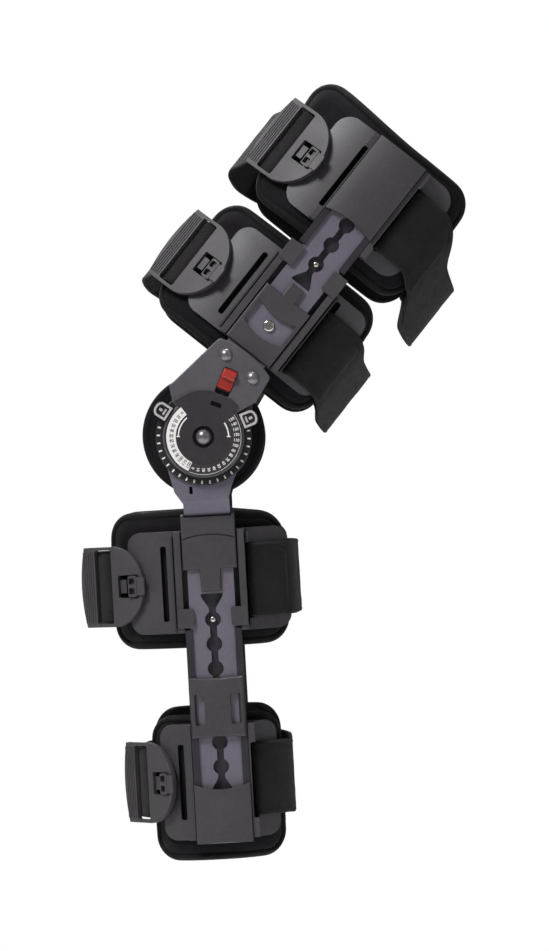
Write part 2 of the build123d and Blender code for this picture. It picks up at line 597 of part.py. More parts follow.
def mount(name, side):
    """Moulded mount: wing plate around the leg, ribs, block over the strut."""
    s = STATIONS[name]
    seg = s["seg"]
    uc, ys = UC[seg], Y_STRUT[seg]
    top = ys + STRUT_T + 2.7                       # outer face of the block
    p0, p1 = s["plate"][2], s["plate"][3]
    with BuildPart() as m:
        # --- block
        if name == "calf_upper":
            with BuildSketch(side_plane(seg, ys - 8)) as sk:
                with BuildLine():
                    ThreePointArc(sp(seg, uc - 18.2, 51.4), sp(seg, uc, 49.4), sp(seg, uc + 18.2, 51.4))
                    Polyline(sp(seg, uc + 18.2, 51.4), sp(seg, uc + 18.2, 88.4), sp(seg, uc + 7.2, 88.4), sp(seg, uc + 6.6, 103.4),
                             sp(seg, uc - 6.6, 103.4), sp(seg, uc - 7.2, 88.4), sp(seg, uc - 18.2, 88.4), sp(seg, uc - 18.2, 51.4))
                make_face()
            extrude(amount=top - ys + 8)
            soften(m, m.faces().sort_by(Axis.Y)[0].edges(), 1.2)
            # shallow groove across the block
            with BuildSketch(side_plane(seg, top - 0.8)) as sk:
                with BuildLine():
                    ThreePointArc(sp(seg, uc - 19, 68.0), sp(seg, uc, 64.6), sp(seg, uc + 19, 68.0))
                    Line(sp(seg, uc + 19, 68.0), sp(seg, uc + 19, 69.3))
                    ThreePointArc(sp(seg, uc + 19, 69.3), sp(seg, uc, 65.9), sp(seg, uc - 19, 69.3))
                    Line(sp(seg, uc - 19, 69.3), sp(seg, uc - 19, 68.0))
                make_face()
            extrude(amount=3, mode=Mode.SUBTRACT)
            ears = (114.5, 127.4)
        elif name == "thigh_lower":
            with BuildSketch(side_plane(seg, ys - 8)) as sk:
                with BuildLine():
                    Polyline((uc - 18.2, 63.0), (uc + 18.2, 63.0), (uc + 18.2, 107.6), (uc + 5.2, 107.6), (uc + 5.2, 117.6),
                             (uc - 5.2, 117.6), (uc - 5.2, 107.6), (uc - 18.2, 107.6), close=True)
                make_face()
            extrude(amount=top - ys + 8)
            soften(m, m.faces().sort_by(Axis.Y)[0].edges(), 1.0)
            # window that shows the strut and its screw
            with BuildSketch(side_plane(seg, ys + STRUT_T)) as sk:
                with BuildLine():
                    ThreePointArc((uc - 15.2, 79.0), (uc, 75.6), (uc + 15.2, 79.0))
                    Line((uc + 15.2, 79.0), (uc + 15.2, 96.0))
                    ThreePointArc((uc + 15.2, 96.0), (uc, 92.6), (uc - 15.2, 96.0))
                    Line((uc - 15.2, 96.0), (uc - 15.2, 79.0))
                make_face()
            extrude(amount=12, mode=Mode.SUBTRACT)
            ears = (126.0, 141.6)
        elif name == "thigh_upper":
            with BuildSketch(side_plane(seg, ys - 8)) as sk:
                with BuildLine():
                    ThreePointArc((uc - WALL_OUT, 171.0), (uc, 174.2), (uc + WALL_OUT, 171.0))
                    Polyline((uc + WALL_OUT, 171.0), (uc + WALL_OUT, 232.0), (uc - WALL_OUT, 232.0), (uc - WALL_OUT, 171.0))
                make_face()
            extrude(amount=top + 3.1 - ys + 8)
            soften(m, m.faces().sort_by(Axis.Y)[0].edges().filter_by(GeomType.LINE), 1.5)
            crown(seg, uc, top + 3.1)
            ears = None
        else:
            with BuildSketch(side_plane(seg, ys - 8)) as sk:
                with BuildLine():
                    ThreePointArc(sp(seg, uc - WALL_OUT, 232.4), sp(seg, uc, 236.4), sp(seg, uc + WALL_OUT, 232.4))
                    Polyline(sp(seg, uc + WALL_OUT, 232.4), sp(seg, uc + WALL_OUT, 272.4), sp(seg, uc - WALL_OUT, 272.4),
                             sp(seg, uc - WALL_OUT, 232.4))
                make_face()
            extrude(amount=top + 3.1 - ys + 8)
            soften(m, m.faces().sort_by(Axis.Y)[0].edges().filter_by(GeomType.LINE), 1.5)
            crown(seg, uc, top + 3.1)
            ears = None
        # --- ribs beside the strut
        outer_ribs = (19.2, 23.8)
        for sgn in (-1, 1):
            lo, hi = sorted((uc + sgn * outer_ribs[0], uc + sgn * outer_ribs[1]))
            slab(seg, ys - 14, ys + 4.3, rect_pts(lo, hi, p0 + 0.6, p1 - 0.6))
            if sgn == 1 or name not in ("thigh_upper",):
                lo, hi = sorted((uc + sgn * 24.8, uc + sgn * 26.6))
                if name in ("thigh_lower", "calf_upper"):
                    slab(seg, ys - 16, ys + 0.6, rect_pts(lo, hi, p0 + 3, p1 - 3))
            if ears:
                lo, hi = sorted((uc + sgn * 12.4, uc + sgn * 20.0))
                slab(seg, ys + STRUT_T + 0.1, ys + 5.4, rect_pts(lo, hi, *ears), r=1.8)
                lo, hi = sorted((uc + sgn * 19.2, uc + sgn * 23.8))
                slab(seg, ys - 4, ys + 5.4, rect_pts(lo, hi, ears[0], min(ears[1], p1 + 10)))
        # --- everything inside the plate's inner face goes, then the plate itself
        ring_body(seg, s, None, (s["Ai"], s["Bi"]), p0 - 20, p1 + 20, mode=Mode.SUBTRACT)
        # block and ribs are tied to the wings
        with BuildPart(mode=Mode.PRIVATE) as wing:
            wing_plate(s, side)
        add(wing.part)
        if name in ("calf_upper", "thigh_lower"):
            # collar under the block carries it where it passes the plate's edge
            pass
        # --- passage of strut and channel
        if name in ("calf_upper", "thigh_lower"):
            slab(seg, ys - 0.1, ys + STRUT_T + 0.1, rect_pts(uc - STRUT_W / 2 - 0.1, uc + STRUT_W / 2 + 0.1, 20, 160), mode=Mode.SUBTRACT)
            slab(seg, ys + WEB[0] - 0.25, ys + 2, rect_pts(uc - 9.6, uc + 9.6, 109.0 if name == "calf_upper" else 122.0, 160), mode=Mode.SUBTRACT)
        else:
            slab(seg, ys + WEB[0], ys + LIP[1], rect_pts(uc - WALL_OUT, uc + WALL_OUT, 140,
                 270.0 if name == "calf_lower" else 230.0), mode=Mode.SUBTRACT)
        if name == "calf_upper":
            # the strut's step passes through the top of the block
            with BuildSketch(Plane(origin=(uc + STRUT_W / 2 + 0.4, 0, 0), x_dir=(0, -1, 0), z_dir=(-1, 0, 0))):
                yc = Y_STRUT[CALF]
                yh = yc + CALF_JOG
                with BuildLine():
                    Polyline((yh - 0.6, -41.0), (yh + STRUT_T + 6, -41.0), (yh + STRUT_T + 6, -46.0), (yc + STRUT_T + 0.9, -54.2),
                             (yc - 0.6, -54.2), (yc - 0.6, -51.4), close=True)
                make_face()
            extrude(amount=STRUT_W + 0.8, mode=Mode.SUBTRACT)
        strap_slots(s)
        if side == "lateral":
            buckle_post(s)
            ring_body(seg, s, None, (s["Ai"], s["Bi"]), p0 - 20, p1 + 20, mode=Mode.SUBTRACT)
    return m


mounts = {}
for name in STATIONS:
    for side in ("lateral", "medial"):
        mounts[name, side] = mount(name, side)

with BuildPart() as calf_sleeves:
    # snap-on bridge between the channel lips, with two side windows
    y0, uc = Y_STRUT[CALF], CALF_UC
    with BuildSketch(side_plane(CALF, y0 + LIP[1] + 0.02)) as sk:
        with BuildLine():
            ThreePointArc(sp(CALF, uc - 18.2, 160.6), sp(CALF, uc, 161.6), sp(CALF, uc + 18.2, 160.6))
            Line(sp(CALF, uc + 18.2, 160.6), sp(CALF, uc + 18.2, 201.8))
            ThreePointArc(sp(CALF, uc + 18.2, 201.8), sp(CALF, uc, 201.0), sp(CALF, uc - 18.2, 201.8))
            Line(sp(CALF, uc - 18.2, 201.8), sp(CALF, uc - 18.2, 160.6))
        make_face()
    extrude(amount=2.2)
    soften(calf_sleeves, calf_sleeves.faces().sort_by(Axis.Y)[0].edges(), 1.4)
    slab(CALF, y0 + STRUT_T + 0.25, y0 + LIP[1] + 1, rect_pts(uc - 13.6, uc + 13.6, 162.5, 200.5))
    for sgn in (-1, 1):
        lo, hi = sorted((uc + sgn * 8.8, uc + sgn * 15.4))
        slab(CALF, y0, y0 + 12, rect_pts(lo, hi, 171.8, 193.2), r=2.0, mode=Mode.SUBTRACT)
    mirror(about=Plane.XZ)


# ------------------------------------------------------------------ pads and straps
def pad_pair(name):
    s = STATIONS[name]
    seg = s["seg"]
    u0, u1, w0, w1 = s["pad"]
    with BuildPart() as p:
        ring_body(seg, s, (s["a"], s["b"]), (s["Ap"], s["Bp"]), w0 - 1, w1 + 1)
        slab(seg, 0, 120, rect_pts(u0, u1, w0, w1), r=s["pad_r"], mode=Mode.INTERSECT)
        # the two pads of a cuff stay apart at the front and at the back
        slab(seg, -1, ell(s, s["tp"], s["tp"], u0) - 1, rect_pts(u0 - 20, s["u0"], w0 - 5, w1 + 5), mode=Mode.SUBTRACT)
        slab(seg, -1, ell(s, s["tp"], s["tp"], u1) - 1, rect_pts(s["u0"], u1 + 20, w0 - 5, w1 + 5), mode=Mode.SUBTRACT)
        mirror(about=Plane.XZ)
    return p


def rear_path(s):
    """Strap around the back of the leg between the two rear slots."""
    h = hull(wrap_points(s))
    su = s["rslot"][0] + SLOT_W / 2 + 1.0
    lim = ell(s, s["tp"] + 3.25, s["tp"] + 3.25, su)
    back = [p for p in h if p[0] > su + 1]
    pts = [(su, lim), (su, -lim)] + back
    pts.sort(key=lambda p: math.atan2(p[1], p[0] - su + 20))
    # anticlockwise from the medial... offset outwards
    c = offset_open(pts, -(STRAP_T / 2 + 0.7))
    return c[::-1]


def front_path(s):
    """Strap from the buckle's bar around the front to the medial slot."""
    bar = s["bar"]
    n = s["bn"]
    start = (bar[0] - n[0] * 6.8, bar[1] - n[1] * 6.8)
    h = hull(wrap_points(s) + [start])
    su = s["fslot"][0] - SLOT_W / 2 - 1.0
    lim = -ell(s, s["tp"] + 3.25, s["tp"] + 3.25, su)
    keep = [p for p in h if p[0] < su - 1 and (p[1] < start[1] - 0.5)]
    pts = [start] + sorted(keep, key=lambda p: -math.atan2(p[1], -(p[0] - su - 20))) + [(su, lim)]
    body = offset_open(pts[1:], STRAP_T / 2 + 0.7)
    body2 = offset_open(pts[1:], -(STRAP_T / 2 + 0.7))
    # choose the offset that lies further from the centre of the leg
    c = (s["u0"], 0)
    if math.dist(body2[len(body2) // 2], c) > math.dist(body[len(body) // 2], c):
        body = body2
    return [start] + body


def strap_part(name, which):
    s = STATIONS[name]
    path = front_path(s) if which == "front" else rear_path(s)
    w0, w1 = s["strap"]
    with BuildPart() as b:
        strap_band(s["seg"], s, path, w0, w1)
    return b


# ------------------------------------------------------------------ buckles
def buckle_part(name):
    s = STATIONS[name]
    with BuildPart() as b:
        with BuildSketch(buckle_plane(s)) as sk:
            with BuildLine():
                ThreePointArc((24.5, 27.2), (0, 0), (24.5, -27.2))
                Line((24.5, -27.2), (48.6, -27.2))
                ThreePointArc((48.6, -27.2), (52.0, 0), (48.6, 27.2))
                Line((48.6, 27.2), (24.5, 27.2))
            make_face()
        extrude(amount=BUCKLE_T)
        soften(b, b.faces().sort_by(Axis.Y)[0].edges(), 1.1)
        with BuildSketch(buckle_plane(s, lift=-1)):
            with Locations((33.0, 0)):
                RectangleRounded(13.6, 50.0, 1.5)
            with Locations((12.4, 0)):
                RectangleRounded(17.0, 15.4, 1.0)
        extrude(amount=BUCKLE_T + 2, mode=Mode.SUBTRACT)
        # fine ribs along the strap bar
        with BuildSketch(buckle_plane(s, lift=BUCKLE_T)):
            for k in range(5):
                with Locations((41.9 + k * 1.75, 0)):
                    Rectangle(0.8, 48.0)
        extrude(amount=0.5)
    return b


def latch_part(name):
    s = STATIONS[name]
    with BuildPart() as b:
        with BuildSketch(buckle_plane(s, lift=0.3)):
            with Locations((8.2, 0)):
                RectangleRounded(7.0, 14.0, 1.0)
        extrude(amount=BUCKLE_T + 1.3)
        # thumb lip lying over the rim of the buckle
        with BuildSketch(buckle_plane(s, lift=BUCKLE_T + 0.1)):
            with Locations((3.6, 0)):
                RectangleRounded(10.4, 12.0, 1.6)
        extrude(amount=1.2)
        with BuildSketch(buckle_plane(s, lift=BUCKLE_T - 1.2)):
            for k in (-1, 1):
                with Locations((8.6, 3.3 * k)):
                    RectangleRounded(4.6, 4.4, 0.8)
        extrude(amount=4.0, mode=Mode.SUBTRACT)
    return b


# ------------------------------------------------------------------ writing
pieces = {}


def keep(name, builder):
    builder.part.label = name
    pieces[name] = builder.part
    export_step(builder.part, "parts/" + name + ".step")


def keep_pair(stem, lateral):
    keep(stem + "_lateral", lateral)
    with BuildPart() as medial:
        mirror(lateral.part, about=Plane.XZ)
    keep(stem + "_medial", medial)


keep_pair("hinge_cover", hinge_cover_lateral)
keep("range_dials", range_dials)
keep("tick_rings", tick_rings)
keep("hinge_back_plates", hinge_back_plates)
keep("pivot_rivets", pivot_rivets)
keep("cover_rivets", cover_rivets)
keep_pair("extension_stop", extension_stop_lateral)
keep_pair("flexion_stop", flexion_stop_lateral)
keep_pair("drop_lock", drop_lock_lateral)
keep("condyle_pads", condyle_pads)
keep_pair("thigh_strut", thigh_strut_lateral)
keep_pair("calf_strut", calf_strut_lateral)
keep("thigh_strut_screws", thigh_strut_screws)
keep_pair("thigh_channel", thigh_channel_lateral)
keep_pair("calf_channel", calf_channel_lateral)
keep_pair("thigh_length_button", button(THIGH, THIGH_HOLE0))
keep_pair("calf_length_button", button(CALF, CALF_HOLE0))
keep("calf_sleeves", calf_sleeves)
for name in STATIONS:
    keep(name + "_mount_lateral", mounts[name, "lateral"])
    with BuildPart() as medial_mount:
        mirror(mounts[name, "medial"].part, about=Plane.XZ)
    keep(name + "_mount_medial", medial_mount)
    keep(name + "_pads", pad_pair(name))
    keep(name + "_front_strap", strap_part(name, "front"))
    keep(name + "_rear_strap", strap_part(name, "rear"))
    keep(name + "_buckle", buckle_part(name))
    keep(name + "_latch", latch_part(name))

for name, s in STATIONS.items():
    print(name, "bar (u, y):", [round(v, 2) for v in s["bar"]], "beta", round(math.degrees(s["beta"]), 1))
print(len(pieces), "nodes")
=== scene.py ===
import math

import bpy
from mathutils import Matrix, Vector, noise

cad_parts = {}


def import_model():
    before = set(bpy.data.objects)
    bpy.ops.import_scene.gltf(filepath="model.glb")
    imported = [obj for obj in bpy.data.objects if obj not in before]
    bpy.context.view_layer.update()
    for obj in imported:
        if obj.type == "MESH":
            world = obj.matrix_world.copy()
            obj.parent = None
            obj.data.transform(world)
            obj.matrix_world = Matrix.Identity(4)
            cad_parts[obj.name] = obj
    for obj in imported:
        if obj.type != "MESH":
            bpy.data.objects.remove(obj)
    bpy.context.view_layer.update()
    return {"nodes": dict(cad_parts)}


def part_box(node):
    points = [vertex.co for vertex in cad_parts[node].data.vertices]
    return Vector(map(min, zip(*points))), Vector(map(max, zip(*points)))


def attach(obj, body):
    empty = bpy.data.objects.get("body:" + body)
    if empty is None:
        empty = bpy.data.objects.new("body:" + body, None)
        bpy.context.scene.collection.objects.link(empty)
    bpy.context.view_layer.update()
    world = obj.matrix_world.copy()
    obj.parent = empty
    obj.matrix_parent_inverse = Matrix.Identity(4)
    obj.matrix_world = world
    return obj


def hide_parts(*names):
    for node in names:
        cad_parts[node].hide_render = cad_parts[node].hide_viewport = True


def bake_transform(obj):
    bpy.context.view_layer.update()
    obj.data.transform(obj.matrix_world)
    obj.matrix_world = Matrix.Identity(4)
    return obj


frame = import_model()

# ------------------------------------------------------------------ frame
FLEX = math.radians(41.4)
sF, cF = math.sin(FLEX), math.cos(FLEX)
ROLL = 3.2
Y_HINGE = 76.0
THIGH, CALF = True, False
BODY = {"thigh_upper": "thigh_upper", "thigh_lower": "thigh", "calf_upper": "calf", "calf_lower": "calf_lower"}
ST = {
    "thigh_upper": dict(seg=THIGH, u0=-15.0, a=84.0, b=64.5, tp=9.0,
                        pad=(-85.0, 47.5, 149.5, 238.5), plate=(-61.0, 34.5, 159.0, 232.0),
                        strap=(166.0, 216.0), fslot=(-34.6, 170.0, 220.0), rslot=(12.0, 169.0, 220.0),
                        tip=(-51.0, 191.5), span=44.0, pad_r=18.0, fshift=-17.0, rshift=-33.0, patch=(50.0, 19.0)),
    "thigh_lower": dict(seg=THIGH, u0=-20.0, a=80.0, b=64.5, tp=9.0,
                        pad=(-90.5, 46.5, 51.0, 139.0), plate=(-68.0, 40.0, 62.5, 131.3),
                        strap=(67.0, 117.0), fslot=(-43.3, 72.0, 123.0), rslot=(15.5, 67.0, 127.0),
                        tip=(-57.0, 91.5), span=43.0, pad_r=17.0, fshift=-12.0, rshift=-14.0, patch=(47.0, 17.0)),
    "calf_upper": dict(seg=CALF, u0=-5.0, a=62.0, b=53.5, tp=9.0,
                       pad=(-72.3, 54.0, 49.4, 140.0), plate=(-56.3, 52.2, 62.0, 131.0),
                       strap=(72.5, 122.5), fslot=(-32.0, 72.0, 123.0), rslot=(25.2, 72.0, 123.0),
                       tip=(-44.8, 97.8), span=43.0, pad_r=17.0, fshift=4.0, rshift=0.0, patch=(52.0, 8.0)),
    "calf_lower": dict(seg=CALF, u0=-5.0, a=47.0, b=49.5, tp=13.0,
                       pad=(-52.0, 45.2, 188.0, 284.0), plate=(-41.4, 37.3, 192.5, 270.5),
                       strap=(206.0, 256.0), fslot=(-27.5, 206.0, 257.0), rslot=(21.5, 206.0, 257.0),
                       tip=(-31.6, 231.5), span=33.5, pad_r=16.0, fshift=3.0, rshift=2.0, patch=(45.0, 8.0)),
}
BUCKLE_L, BUCKLE_T = 52.0, 3.4


def world(seg, u, y, w):
    """Point of a segment, in mm, to the shared frame, in metres. y is positive towards the lateral side."""
    if seg:
        return Vector((u * cF + w * sF, -y, -u * sF + w * cF)) * 0.001
    return Vector((u, -y, -w)) * 0.001


def ell(s, grow, x):
    A, B = s["a"] + grow, s["b"] + grow
    return B * math.sqrt(max(0.0, 1 - ((x - s["u0"]) / A) ** 2))


for key, s in ST.items():
    beta = math.acos(s["span"] / BUCKLE_L)
    t, n = (-math.cos(beta), -math.sin(beta)), (-math.sin(beta), math.cos(beta))
    uc = s["plate"][0]
    d = uc * n[0] + ell(s, s["tp"] + 3.25, uc) * n[1] + 0.8
    s["t"], s["n"] = t, n
    s["origin"] = (s["tip"][0], (d - s["tip"][0] * n[0]) / n[1])

# ------------------------------------------------------------------ materials


def lin(r, g, b):
    def f(c):
        c /= 255.0
        return c / 12.92 if c <= 0.04045 else ((c + 0.055) / 1.055) ** 2.4
    return (f(r), f(g), f(b), 1.0)


def shade(c, k):
    return (min(1.0, c[0] * k), min(1.0, c[1] * k), min(1.0, c[2] * k), 1.0)


def material(name, color, spread=0.25, scale=350.0, rough=(0.4, 0.55), metallic=0.0, grain=1800.0,
             bump=0.15, depth=0.00008, bevel=0.0004, coat=0.0, sheen=0.0, weave=0.0, specular=0.5, wear=0.0):
    m = bpy.data.materials.new(name)
    m.use_nodes = True
    nt = m.node_tree
    N, L = nt.nodes, nt.links
    bsdf = N["Principled BSDF"]
    tc = N.new("ShaderNodeTexCoord")
    n1 = N.new("ShaderNodeTexNoise")
    n1.inputs["Scale"].default_value = scale
    n1.inputs["Detail"].default_value = 6.0
    ramp = N.new("ShaderNodeValToRGB")
    ramp.color_ramp.elements[0].position = 0.30
    ramp.color_ramp.elements[1].position = 0.72
    ramp.color_ramp.elements[0].color = shade(color, 1 - spread)
    ramp.color_ramp.elements[1].color = shade(color, 1 + spread)
    L.new(tc.outputs["Object"], n1.inputs["Vector"])
    L.new(n1.outputs["Fac"], ramp.inputs["Fac"])
    base = ramp.outputs["Color"]
    n2 = N.new("ShaderNodeTexNoise")
    n2.inputs["Scale"].default_value = scale * 0.12
    n2.inputs["Detail"].default_value = 4.0
    mr = N.new("ShaderNodeMapRange")
    mr.inputs["From Min"].default_value = 0.3
    mr.inputs["From Max"].default_value = 0.7
    mr.inputs["To Min"].default_value = rough[0]
    mr.inputs["To Max"].default_value = rough[1]
    L.new(tc.outputs["Object"], n2.inputs["Vector"])
    L.new(n2.outputs["Fac"], mr.inputs["Value"])
    L.new(mr.outputs["Result"], bsdf.inputs["Roughness"])
    if wear:
        # larger soft patches of handling and dust
        n4 = N.new("ShaderNodeTexNoise")
        n4.inputs["Scale"].default_value = 28.0
        n4.inputs["Detail"].default_value = 8.0
        r4 = N.new("ShaderNodeValToRGB")
        r4.color_ramp.elements[0].position = 0.42
        r4.color_ramp.elements[1].position = 0.70
        r4.color_ramp.elements[0].color = (1, 1, 1, 1)
        r4.color_ramp.elements[1].color = (1 + wear, 1 + wear, 1 + wear, 1)
        mx = N.new("ShaderNodeMix")
        mx.data_type = "RGBA"
        mx.blend_type = "MULTIPLY"
        mx.inputs["Factor"].default_value = 1.0
        L.new(tc.outputs["Object"], n4.inputs["Vector"])
        L.new(n4.outputs["Fac"], r4.inputs["Fac"])
        L.new(base, mx.inputs["A"])
        L.new(r4.outputs["Color"], mx.inputs["B"])
        base = mx.outputs["Result"]
    L.new(base, bsdf.inputs["Base Color"])
    n3 = N.new("ShaderNodeTexNoise")
    n3.inputs["Scale"].default_value = grain
    n3.inputs["Detail"].default_value = 3.0
    L.new(tc.outputs["Object"], n3.inputs["Vector"])
    height = n3.outputs["Fac"]
    if weave:
        vo = N.new("ShaderNodeTexVoronoi")
        vo.inputs["Scale"].default_value = weave
        L.new(tc.outputs["Object"], vo.inputs["Vector"])
        ad = N.new("ShaderNodeMath")
        ad.operation = "ADD"
        L.new(vo.outputs["Distance"], ad.inputs[0])
        L.new(n3.outputs["Fac"], ad.inputs[1])
        height = ad.outputs["Value"]
    bp = N.new("ShaderNodeBump")
    bp.inputs["Strength"].default_value = bump
    bp.inputs["Distance"].default_value = depth
    L.new(height, bp.inputs["Height"])
    if bevel:
        bv = N.new("ShaderNodeBevel")
        bv.samples = 4
        bv.inputs["Radius"].default_value = bevel
        L.new(bv.outputs["Normal"], bp.inputs["Normal"])
    L.new(bp.outputs["Normal"], bsdf.inputs["Normal"])
    bsdf.inputs["Metallic"].default_value = metallic
    bsdf.inputs["Specular IOR Level"].default_value = specular
    bsdf.inputs["Coat Weight"].default_value = coat
    if coat:
        bsdf.inputs["Coat Roughness"].default_value = 0.12
    bsdf.inputs["Sheen Weight"].default_value = sheen
    if sheen:
        bsdf.inputs["Sheen Roughness"].default_value = 0.45
    return m


M = {
    "cover": material("cover_grey", lin(70, 68, 73), 0.10, 300, (0.42, 0.52), grain=2600, bump=0.18, bevel=0.0006, wear=0.12),
    "mount": material("mount_charcoal", lin(51, 48, 52), 0.12, 320, (0.44, 0.58), grain=2200, bump=0.22, bevel=0.0006, wear=0.16),
    "buckle": material("buckle_charcoal", lin(53, 50, 53), 0.10, 320, (0.52, 0.62), grain=2200, bump=0.10, bevel=0.0006, wear=0.14),
    "dial": material("dial_dark", lin(48, 42, 46), 0.12, 240, (0.22, 0.34), grain=2600, bump=0.08, bevel=0.0004, coat=0.35),
    "ring": material("ring_black", lin(20, 19, 21), 0.15, 300, (0.38, 0.5), grain=2400, bump=0.15, bevel=0.0004),
    "stop": material("stop_black", lin(19, 18, 20), 0.15, 300, (0.34, 0.48), grain=2400, bump=0.15, bevel=0.0004),
    "lock": material("lock_red", lin(150, 40, 32), 0.10, 300, (0.26, 0.38), grain=2400, bump=0.1, bevel=0.0006, coat=0.25),
    "rivet": material("rivet_gunmetal", lin(122, 118, 122), 0.10, 700, (0.28, 0.36), metallic=0.75, grain=3000, bump=0.06, bevel=0.0002),
    "pin": material("pin_silver", lin(205, 200, 190), 0.08, 700, (0.16, 0.28), metallic=1.0, grain=3000, bump=0.06, bevel=0.0002),
    "strut": material("strut_anodised", lin(107, 102, 115), 0.07, 900, (0.38, 0.48), metallic=0.45, grain=4200, bump=0.10, bevel=0.0003, wear=0.08),
    "channel": material("channel_anodised", lin(52, 49, 55), 0.08, 900, (0.38, 0.50), metallic=0.55, grain=4200, bump=0.10, bevel=0.0003, wear=0.10),
    "foam": material("pad_fabric", lin(17, 15, 18), 0.35, 900, (0.82, 0.95), grain=2600, bump=0.55, depth=0.0003, bevel=0.0, sheen=0.03, weave=1500.0, specular=0.12, wear=0.35),
    "bind": material("pad_binding", lin(14, 12, 14), 0.30, 1400, (0.70, 0.85), grain=3200, bump=0.45, depth=0.0002, bevel=0.0, sheen=0.04, weave=2200.0, specular=0.15),
    "strap": material("strap_pile", lin(28, 26, 28), 0.45, 1500, (0.80, 0.96), grain=2400, bump=0.85, depth=0.0005, bevel=0.0, sheen=0.08, weave=1700.0, specular=0.14, wear=0.35),
    "grey": material("print_grey", lin(164, 161, 162), 0.08, 500, (0.45, 0.55), grain=2600, bump=0.05, bevel=0.0),
    # painted shade: near-black used for sheets laid where the recesses and slots fall into shadow
    "painted_shadow_black": material("deep_shadow_black", lin(9, 8, 9), 0.12, 600, (0.6, 0.75), grain=2600, bump=0.10, bevel=0.0, specular=0.10),
    "white": material("print_white", lin(214, 212, 210), 0.05, 500, (0.45, 0.55), grain=2600, bump=0.05, bevel=0.0),
    "ink": material("print_ink", lin(38, 36, 38), 0.10, 500, (0.45, 0.55), grain=2600, bump=0.05, bevel=0.0),
}


def mat_key(n):
    if "hinge_cover" in n:
        return "cover"
    if "range_dials" in n:
        return "dial"
    if "tick_rings" in n:
        return "ring"
    if "back_plate" in n:
        return "strut"
    if "_stop_" in n:
        return "stop"
    if "drop_lock" in n:
        return "lock"
    if "rivet" in n:
        return "rivet"
    if "screw" in n or "button" in n:
        return "pin"
    if "strut" in n:
        return "strut"
    if "channel" in n:
        return "channel"
    if n.endswith("_strap"):
        return "strap"
    if n.endswith("_pads"):
        return "foam"
    if n.endswith("_buckle") or n.endswith("_latch"):
        return "buckle"
    return "mount"


for n, o in frame["nodes"].items():
    key = mat_key(n)
    if not o.material_slots:
        o.data.materials.append(M[key])
    for sl in o.material_slots:
        sl.link = "OBJECT"
        sl.material = M[key]


def add_mesh(name, verts, faces, mat, smooth=True):
    me = bpy.data.meshes.new(name)
    me.from_pydata([tuple(v) for v in verts], [], faces)
    me.validate()
    me.update()
    o = bpy.data.objects.new(name, me)
    bpy.context.scene.collection.objects.link(o)
    me.materials.append(M[mat])
    if smooth:
        me.polygons.foreach_set("use_smooth", [True] * len(me.polygons))
    return o


def add_piece(name, verts, faces, mat, body, smooth=True):
    o = add_mesh(name, verts, faces, mat, smooth)
    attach(o, body)
    return o


# ------------------------------------------------------------------ pads
def rr_perimeter(hx, hy, r, nx, ny):
    """Rounded rectangle as a closed ring of 2*(nx+ny) points, starting in the middle of the low-low corner."""
    r = max(0.4, min(r, hx - 0.5, hy - 0.5))
    arc = math.pi / 4 * r

    def side(h1, h2, k):
        st = 2 * (h1 - r)
        Lt = 2 * arc + st
        out = []
        for i in range(k):
            t = Lt * i / k
            if t < arc:
                a = math.radians(225) + t / r
                out.append((-h1 + r + r * math.cos(a), -h2 + r + r * math.sin(a)))
            elif t < arc + st:
                out.append((-h1 + r + t - arc, -h2))
            else:
                a = math.radians(270) + (t - arc - st) / r
                out.append((h1 - r + r * math.cos(a), -h2 + r + r * math.sin(a)))
        return out
    bottom = side(hx, hy, nx)
    right = [(-y, x) for x, y in side(hy, hx, ny)]
    top = [(-x, -y) for x, y in side(hx, hy, nx)]
    left = [(y, -x) for x, y in side(hy, hx, ny)]
    return bottom + right + top + left


def rr_depth(x, y, hx, hy, r):
    """Distance inwards from the outline of the rounded rectangle."""
    qx, qy = abs(x) - (hx - r), abs(y) - (hy - r)
    outside = math.hypot(max(qx, 0), max(qy, 0))
    return r - outside - min(max(qx, qy), 0.0)


def lerp_table(tab, x):
    if x <= tab[0][0]:
        return tab[0][1]
    for (x0, y0), (x1, y1) in zip(tab, tab[1:]):
        if x <= x1:
            f = (x - x0) / (x1 - x0)
            return y0 + (y1 - y0) * f
    return tab[-1][1]


TOP = [(-0.7, 0.40), (0.0, 0.52), (0.6, 0.60), (1.6, 0.68), (3.0, 0.71), (4.4, 0.72), (6.5, 0.80), (9.5, 0.92), (14.0, 0.99), (20.0, 1.0)]
BOT = [(-0.7, 0.32), (0.0, 0.22), (0.6, 0.13), (1.6, 0.05), (3.0, 0.0), (20.0, 0.0)]
RINGS = [0.0, 0.6, 1.6, 2.8, 3.7, 4.3, 4.9, 5.8, 7.4, 9.4, 11.4, 13.2]


